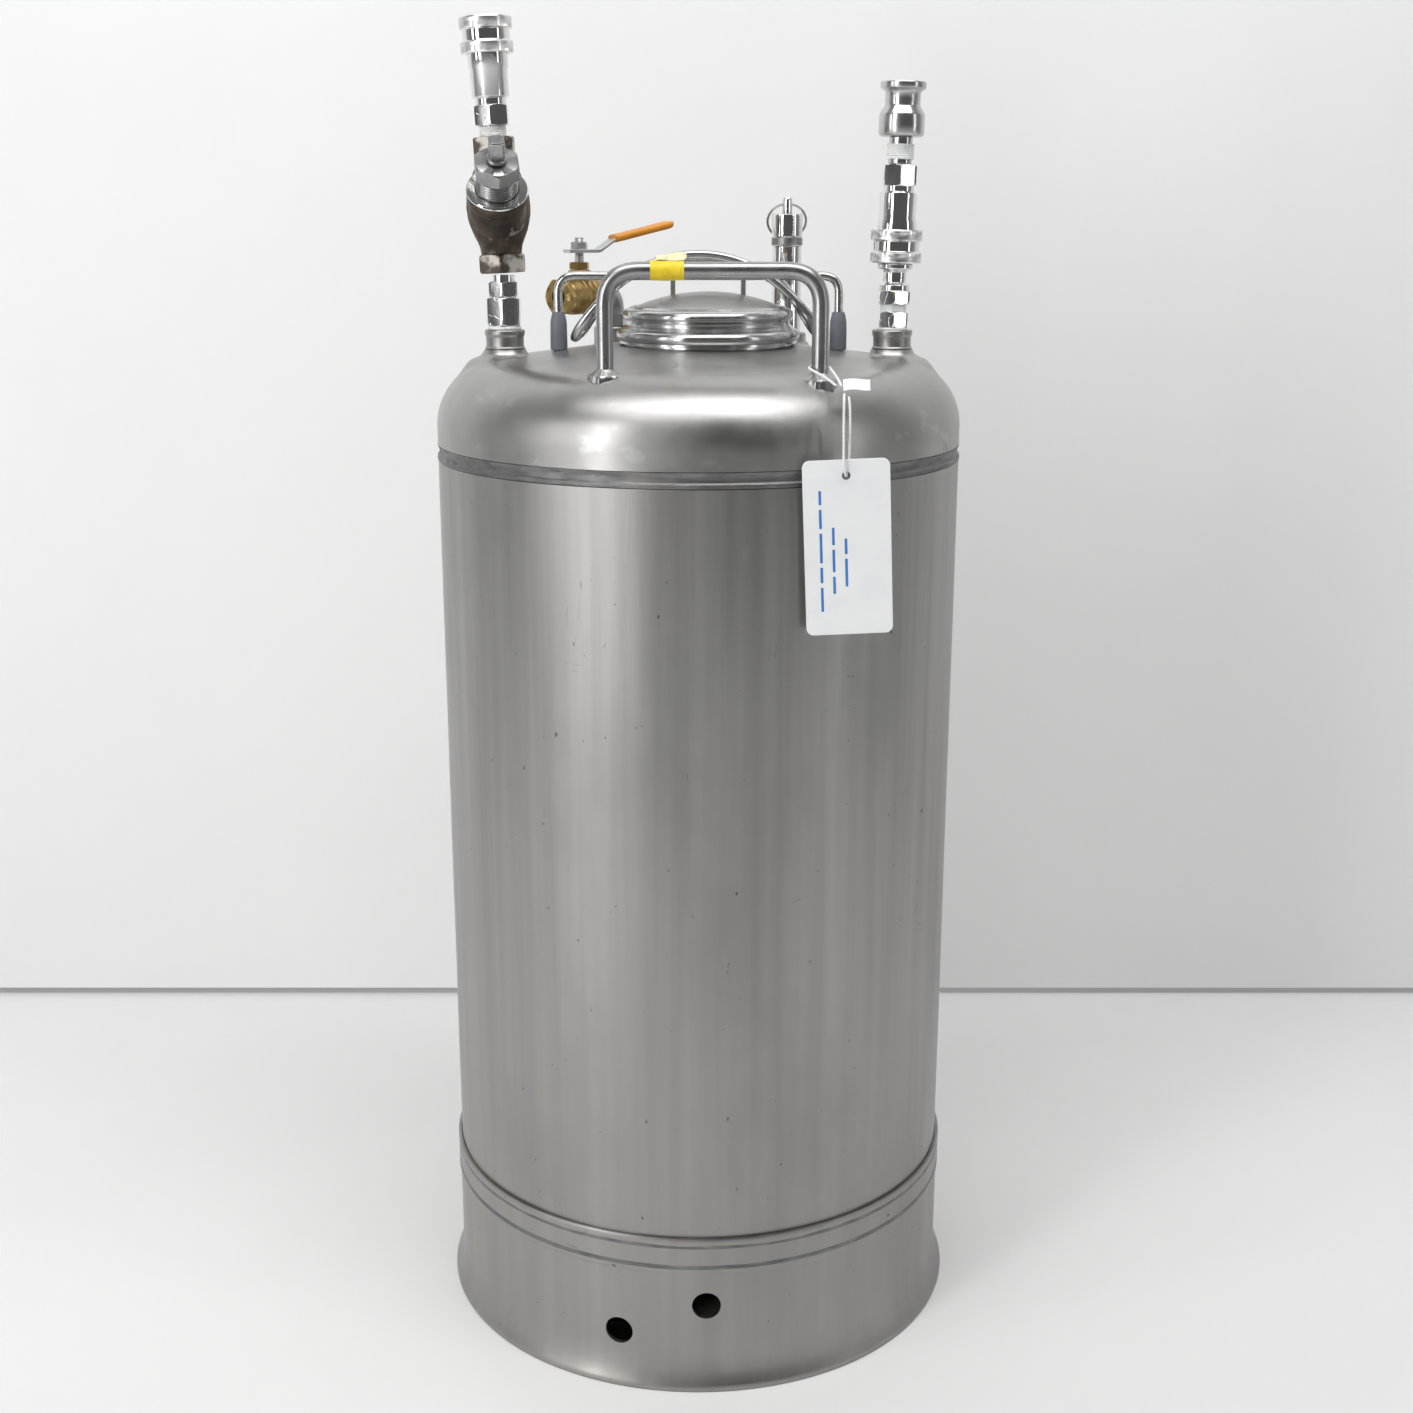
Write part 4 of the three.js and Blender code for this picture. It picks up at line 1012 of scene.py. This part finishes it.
def build_cast_valve():
    """The angle valve: a rough cast barrel and branch between two machined hexagons."""
    line = [(12.5, 11), (12.7, 14), (13.2, 17), (14.6, 20.6), (16.6, 25), (18.4, 30), (19.4, 35),
            (19.8, 40.5), (19.4, 46), (18.2, 51.4), (16.5, 56), (14.4, 61), (12.5, 65)]
    barrel = moved(turned([(7, 11)] + line + [(7, 65)], 72), LEFT_GROUP)
    branch = moved(rod(17.6, -4, 17.6, 72), BONNET)
    collar = moved(turned([(0, 12), (18.2, 12), (18.6, 13), (18.6, 17.6), (0, 17.6)], 72), BONNET)
    obj = raw_object("angle_valve_body_fine", joined(barrel, branch, collar), Matrix(), "cast_bronze")
    mix = obj.modifiers.new("melt", "REMESH")
    mix.mode = "VOXEL"
    mix.voxel_size = 0.7 * MM
    ease = obj.modifiers.new("ease", "SMOOTH")
    ease.factor = 0.6
    ease.iterations = 7
    settle(obj)
    shifts = []
    for vertex in obj.data.vertices:
        spot = vertex.co / MM
        rough = 0.22 * noise.noise(spot / 5) + 0.14 * noise.noise(spot / 1.6)
        shifts.append(vertex.co + vertex.normal * rough * MM)
    for vertex, place in zip(obj.data.vertices, shifts):
        vertex.co = place
    carve(obj, [moved(rod(12, 2, 30, 48), BONNET), moved(rod(6.8, -5, 100, 48), LEFT_GROUP)])
    obj.data.materials.clear()
    obj.data.materials.append(MATERIALS["cast_bronze"])
    smoothed(obj, 0)
    stand_for(obj, "angle_valve_body")
    for name, across, low, high in (("valve_lower_hex", 27, 0.8, 12), ("valve_upper_hex", 24, 64, 82)):
        bar = hex_bar(across, low, high, 7)
        extra(name, bar, "angle_valve_body", LEFT_GROUP, 0.5, "worn_bronze")

    ring = [(13.6, 18.3), (18.4, 18.3), (19, 18.8), (19, 19.8), (18.4, 20.3), (13.6, 20.3)]
    piece("bonnet_washer", turned(ring), BONNET, cutters=[moved(tube(0.1, 14.3, 60, 90), LEFT_GROUP)])
    face, shape = threaded(20.6, 30.4, 13, 1.8, 0.9)
    plug = [(4, 5), (11.6, 5), (11.6, 20)] + face + [(12, 30.8), (12, 31.2), (4, 31.2)]
    plug_body = joined(hex_bar(26, 31, 41, 4), turned(plug, 96, shape))
    piece("bonnet_plug", plug_body, BONNET, finish="dull_fitting")
    line = [(0, 3), (3.6, 3), (3.6, 41.2), (5.4, 41.3), (6.4, 42), (6.4, 43.4), (5.6, 44.2), (0, 44.2)]
    stem = turned(line, 64)
    side = 9.5
    head = slab(rounded_plate(side, side, 2.2), 44, 56.2)
    dome = slab(rounded_plate(side - 1.6, side - 1.6, 1.8), 56.1, 57)
    piece("valve_stem", joined(stem, head, dome), BONNET, bevel=0.5, finish="dull_fitting")


def build_right_stack():
    port_boss("gas_port_boss", PORT_X)
    parts = joined(hex_bar(17.5, 0.6, 10.4, 3.5), tube(3.5, 8.4, -8, 0.9), tube(3.5, 6.2, 10, 14))
    piece("gas_hex_bushing", parts, RIGHT_GROUP)
    seals = {"gas_port_seal": [(8.5, -0.7), (9.4, -0.7), (9.6, 0), (9.2, 0.5), (8.5, 0.5)],
             "gas_plug_seal": [(6.3, 10.6), (8.2, 10.6), (8.4, 12), (8.1, 14.6), (6.3, 14.6)]}
    for name, seal in seals.items():
        extra(name, turned(seal, 72, wobbly(0.25, 3)), "gas_nipple_tape", RIGHT_GROUP, 0)
    nose = [(3.5, 22.6), (9.5, 22.6), (9.5, 26.4), (9.1, 27), (7.6, 28), (7.3, 28.6), (7.3, 34.4),
            (8.2, 35.4), (10.6, 36.4), (11, 37), (11, 39), (10.6, 39.5), (8.7, 39.8), (8.4, 40.2),
            (8.4, 52), (7, 54), (3.5, 54)]
    piece("gas_plug", joined(hex_bar(19, 14.9, 23.4, 3.5), turned(nose)), RIGHT_GROUP, bevel=0.2)
    start = coupler_body("right_coupler_body", RIGHT_COUPLER, 13, 4, 17, 5, 20)
    coupler_sleeve("right_coupler_sleeve", RIGHT_COUPLER, start, 20)
    piece("gas_upper_nipple", tube(3.6, 7.2, 99.3, 115), RIGHT_GROUP)
    face, shape = threaded(102.2, 111, 8.6, 1.3, 0.5)
    tape = turned([(7.5, 102), (8.3, 102)] + face + [(7.5, 111)], 96, shape)
    piece("gas_nipple_tape", tape, RIGHT_GROUP, bevel=0)
    outline = [(7, 0), (12.2, 0), (13.4, 0.7), (14, 2), (14, 12.6), (13.6, 13.6), (11.2, 17.4), (10.8, 18.6),
               (10.8, 25.6), (11.4, 26.6), (13, 27.6), (13.8, 28.2), (14, 29), (14, 31.4), (13.6, 32),
               (8, 32), (7, 31)]
    piece("flange_adapter", turned(outline), RIGHT_GROUP @ at(0, 0, 115.3), bevel=0.15)


def build_relief_valve():
    welded_boss("relief_port_boss", RELIEF_X, RELIEF_Y, 13, 641, 1.6)
    bore = 3.7
    body = [(bore, 634), (6.8, 634), (6.8, 641.4), (9.1, 641.4), (9.5, 642), (9.5, 676), (9.1, 676.5),
            (9.1, 677.3), (9.5, 677.8), (9.5, 696), (9.1, 696.6), (bore, 696.6)]
    piece("relief_body", turned(body), RELIEF, bevel=0.12)
    face, shape = knurled(697.3, 701.5, 10.2, 60, 0.25)
    band = [(bore, 696.9), (9.9, 696.9)] + face + [(9.9, 701.9), (bore, 701.9)]
    piece("relief_lock_ring", turned(band, 240, shape), RELIEF, bevel=0, finish="dull_fitting")
    cap = [(bore, 702.2), (9.6, 702.2), (10, 702.8), (10, 715.4), (9.8, 716.4), (9.2, 717), (4, 717),
           (bore, 716.6)]
    piece("relief_cap", turned(cap), RELIEF, bevel=0.12)
    pin = [(0, 680), (3.2, 680), (3.2, 725.6), (3, 726.4), (2.5, 727), (0, 727)]
    eye = RELIEF @ at(0, 0, RING_HEIGHT)
    hole = moved(rod(1.7, -10, 10, 32), eye @ ALONG_X)
    piece("relief_pull_pin", turned(pin, 64), RELIEF, bevel=0.15, cutters=[hole])
    line = [Vector((spot.x, 0, spot.y - RING_RADIUS)) for spot in circle(RING_RADIUS, 0, 96)]
    place = eye @ rotation(31, "X")
    piece("relief_pull_ring", swept(line, 0.8, 14, closed=True), place, bevel=0, finish="dull_fitting")


def build_ball_valve():
    rear = BALL_VALVE @ Vector((-ELBOW_REACH, 0, 0))
    welded_boss("vent_port_boss", rear.x, rear.y, 12, 643, 1.4)
    leg = at(-ELBOW_REACH)
    parts = [moved(hex_bar(18, -20.6, -12, 4.5), leg), moved(tube(4.5, 6.8, -26, -20), leg)]
    bend = [Vector((-ELBOW_REACH, 0, -13)), Vector((-ELBOW_REACH, 0, 0)), Vector((-20.3, 0, 0))]
    parts.append(swept(bent_line(bend, 9.5), 8.5, 48))
    collar = turned([(0, -25), (9.8, -25), (10.2, -24.4), (10.2, -20.9), (9.8, -20.3), (0, -20.3)], 64)
    parts.append(moved(collar, ALONG_X))
    piece("vent_elbow", joined(*parts), BALL_VALVE, finish="dull_fitting")

    line = [(5.5, -20), (10.6, -20), (11, -19.4), (11, -11.6), (11.4, -10.4), (12, -9.4)]
    for groove in (-5, 0, 5):
        line += [(12, groove - 1), (11.5, groove - 0.6), (11.5, groove + 0.6), (12, groove + 1)]
    line += [(12, 9), (11, 11), (11, 15.4), (10.6, 16), (5.5, 16), (5.5, 7.2), (9, 7), (9, -7), (5.5, -7.2)]
    barrel = moved(turned(line), ALONG_X)
    neck_ring = turned([(3.3, 9.2), (7.4, 9.2), (7.2, 14), (7.6, 15), (7.6, 16.4), (7, 17), (3.3, 17)], 64)
    piece("ball_valve_body", joined(barrel, neck_ring), BALL_VALVE, bevel=0.2)
    piece("ball_valve_tail_nut", moved(hex_bar(22, 16.3, 21.5, 5.5), ALONG_X), BALL_VALVE)
    piece("packing_nut", hex_bar(12, 17.3, 22, 3.3), BALL_VALVE)

    strip = [(9, 28), (-12, 28), (-14, 28.6), (-25, 36), (-64, 44.5), (-64, 46.5), (-26, 38.2), (-24.6, 37.6),
             (-13, 30.2), (9, 30.2)]
    lever = side_plate(strip, 6)
    spindle = moved(rod(3.3, 20, 40, 40), BALL_VALVE)
    piece("valve_lever", lever, LEVER, bevel=0.35, cutters=[spindle], finish="zinc_steel")
    build_grip()
    nut = joined(hex_bar(10, 30.6, 35, 3.3), tube(3.3, 5.6, 30.2, 30.7, 40))
    piece("lever_nut", nut, BALL_VALVE, bevel=0.2, finish="zinc_steel")
    face, shape = threaded(26, 37.6, 3, 0.8, 0.3)
    stud = turned([(0, 24), (3, 24)] + face + [(2.4, 38), (0, 38)], 48, shape)
    piece("valve_spindle", joined(stud, rod(3, 6.8, 24.2, 48)), BALL_VALVE, bevel=0, finish="zinc_steel")


def side_plate(outline, half_width):
    """An outline of (x, z) given a width along Y."""
    rings = [[Vector((x, y, z)) for x, z in outline] for y in (-half_width, half_width)]
    return skinned(rings, closed=False)


def build_grip():
    """The dipped vinyl sleeve: a round-edged tube along the lever, with a blind, rounded end."""
    rows = []
    spine = [(-23.6, 37.2, 0.86), (-24.4, 37, 1), (-27, 37.4, 1), (-36, 39.4, 0.97), (-50, 42.6, 0.96),
             (-60, 44.9, 0.99), (-64, 45.8, 1), (-66.4, 46.3, 0.86), (-67.6, 46.5, 0.6), (-68, 46.6, 0.3)]
    angles = spaced(0, FULL, 40)[:-1]
    for x, z, share in spine:
        row = []
        for angle in angles:
            across = math.copysign(abs(math.cos(angle)) ** 0.55, math.cos(angle)) * 7.5 * share
            up = math.copysign(abs(math.sin(angle)) ** 0.7, math.sin(angle)) * 2.7 * share
            row.append(Vector((x, across, z + up)))
        rows.append(row)
    grip = piece("lever_grip", skinned(rows, closed=False), LEVER, bevel=0)
    soft = grip.modifiers.new("soft", "SUBSURF")
    soft.levels = soft.render_levels = 2


# ---------- tag and string ----------
def twisted(share, angle):
    """Two plies of string wound round each other."""
    return 1 + 0.16 * math.cos(2 * (angle - share * 170))


def string_piece(name, points):
    line = smooth_line(points, 10)
    obj = piece(name, swept(line, STRING_RADIUS, STRING_SIDES, shape=twisted), bevel=0)
    path = [point * MM for point in line]
    length = sum((b - a).length for a, b in zip(path, path[1:]))
    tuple(path[0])


def tag_plate():
    hole_height = TAG_TOP - TAG_HOLE_DROP
    place = (at(TAG_X, TAG_Y, hole_height) @ rotation(-2.5, "Y")
             @ at(0, 0, TAG_HOLE_DROP - TAG_HEIGHT / 2) @ ALONG_Y)
    plate = slab(rounded_plate(TAG_WIDTH, TAG_HEIGHT, 4.2), -TAG_THICKNESS / 2, TAG_THICKNESS / 2)
    hole = moved(rod(2.4, -5, 5, 40), place @ at(0, TAG_HEIGHT / 2 - TAG_HOLE_DROP, 0))
    piece("hanging_tag", plate, place, bevel=0.25, cutters=[hole])
    lines = []
    for x, low, dashes in ((-15, -36, (14, 9, 17, 11, 8)), (-8, -26, (10, 13, 10)), (-1, -22, (16, 9))):
        start = low
        for length in dashes:
            bar = rounded_plate(1.5, length, 0.6)
            middle = start + length / 2
            lines.append(moved(slab(bar, TAG_THICKNESS / 2, TAG_THICKNESS / 2 + 0.05), at(x, middle)))
            start += length + 2.4
    extra("tag_printed_lines", joined(*lines), "hanging_tag", place, 0, "blue_print")


def build_tag():
    tag_plate()
    flag_rows = []
    for along in spaced(0, 1, 12):
        y = -148.5 + 0.5 * math.sin(along * 3)
        z = 620.4 + 0.5 * math.sin(along * 5) + 0.6 * along
        flag_rows.append([Vector((80.5 + 15 * along, y + 0.8 * j, z + 0.9 * j)) for j in range(7)])
    clasp = piece("tag_string_clasp", skin_sheet(flag_rows, 0.5), bevel=0.1)
    drop = TAG_TOP - TAG_HOLE_DROP
    lower = [(-1.2, -150.5, 619), (-1.6, -155.5, 614), (-1.8, -159, 604), (-1.8, -161.6, 592),
             (-1.6, -163, drop + 5), (-0.6, -162.6, drop + 1), (0, -160, drop), (0.6, -157.2, drop + 1),
             (1.6, -156.6, drop + 5), (1.9, -156.6, 592), (1.9, -156.4, 604), (1.7, -154.2, 613),
             (1.4, -150.3, 617.3)]
    string_piece("tag_string_lower", [Vector((TAG_X + x, y, z)) for x, y, z in lower])
    leg = HANDLE_X + HANDLE_HALF
    reach = HANDLE_ROD + STRING_RADIUS + 0.5
    upper = [(TAG_X - 2.2, -141.6, 622.6), (TAG_X - 4, -134, 626.4),
             (leg + reach, HANDLE_Y - 3.5, 630.6), (leg + reach - 1, HANDLE_Y + 3.6, 631.4),
             (leg, HANDLE_Y + reach, 631.8), (leg - reach + 1, HANDLE_Y + 3.6, 631.6),
             (leg - reach, HANDLE_Y - 3, 631), (leg - reach + 2.5, HANDLE_Y - 8.6, 629.6),
             (leg + 1.5, HANDLE_Y - 13.5, 627.2), (TAG_X - 5, -141.4, 622.8)]
    string_piece("tag_string_upper", [Vector(point) for point in upper])


# ---------- nodes that keep their CAD shape ----------
def finish_frame_nodes():
    for name, obj in frame["nodes"].items():
        if not obj.hide_render:
            obj.data.materials.clear()
            obj.data.materials.append(MATERIALS[SLOTS[name]])
            obj.data.set_sharp_from_angle(angle=SHARP)
            obj.data.polygons.foreach_set("use_smooth", [True] * len(obj.data.polygons))


# ---------- stage ----------
def backdrop(name, size, place, shade):
    mesh = bpy.data.meshes.new(name)
    half = size / 2
    corners = [(-half, -half, 0), (half, -half, 0), (half, half, 0), (-half, half, 0)]
    mesh.from_pydata(corners, [], [(0, 1, 2, 3)])
    obj = new_object(name, mesh)
    obj.matrix_world = place

    def colour(tree):
        return blended(tree, patches(tree, 2, 0.35, 0.65), grey(shade), grey(shade * 1.03))

    mesh.materials.append(material(name, colour, shine(6, 0.5, 0.7)))


def area_light(name, place, target, width, height, power):
    data = bpy.data.lights.new(name, "AREA")
    data.shape = "RECTANGLE"
    data.size, data.size_y = width, height
    data.energy = power
    light = new_object(name, data)
    light.location = place
    light.rotation_mode = "QUATERNION"
    light.rotation_quaternion = (Vector(target) - Vector(place)).to_track_quat("-Z", "Y")


def build_stage():
    backdrop("floor", 7, at(0, -2), 0.8)
    backdrop("wall", 6, at(0, WALL_Y, 3 + WALL_GAP) @ ALONG_Y, 0.85)
    middle = (0, 0, 0.5)
    area_light("key", (-1.4, -1.65, 1.05), middle, 0.42, 1.9, 17)
    area_light("left_strip", (-1.95, -1.0, 0.95), middle, 0.3, 1.5, 5)
    area_light("right_strip", (1.8, -0.85, 0.95), middle, 0.22, 1.5, 3)
    area_light("top", (0.1, -0.75, 2.3), (0, 0, 0.3), 2.4, 1.3, 25)
    area_light("wall_wash", (0, -0.9, 2.9), (0, WALL_Y, 0.9), 3.2, 0.5, 18)
    world = bpy.data.worlds.new("room")
    bpy.context.scene.world = world
    world.use_nodes = True
    tree = world.node_tree
    direction = node(tree, "ShaderNodeTexCoord").outputs["Generated"]
    towards = node(tree, "ShaderNodeSeparateXYZ", {"Vector": direction}).outputs["Y"]
    tone = blended(tree, remap(tree, towards, -0.45, 0.4, 0, 1), grey(0.16), grey(0.7))
    background = tree.nodes["Background"]
    tree.links.new(tone, background.inputs["Color"])
    background.inputs["Strength"].default_value = 0.6
    bpy.context.scene.view_settings.view_transform = "Standard"


make_camera()
make_materials()
build_tag()
build_shell()
build_head()
build_skirt()
build_hatch()
build_bail()
build_handle()
build_left_stack()
build_right_stack()
build_relief_valve()
build_ball_valve()
finish_frame_nodes()
build_stage()
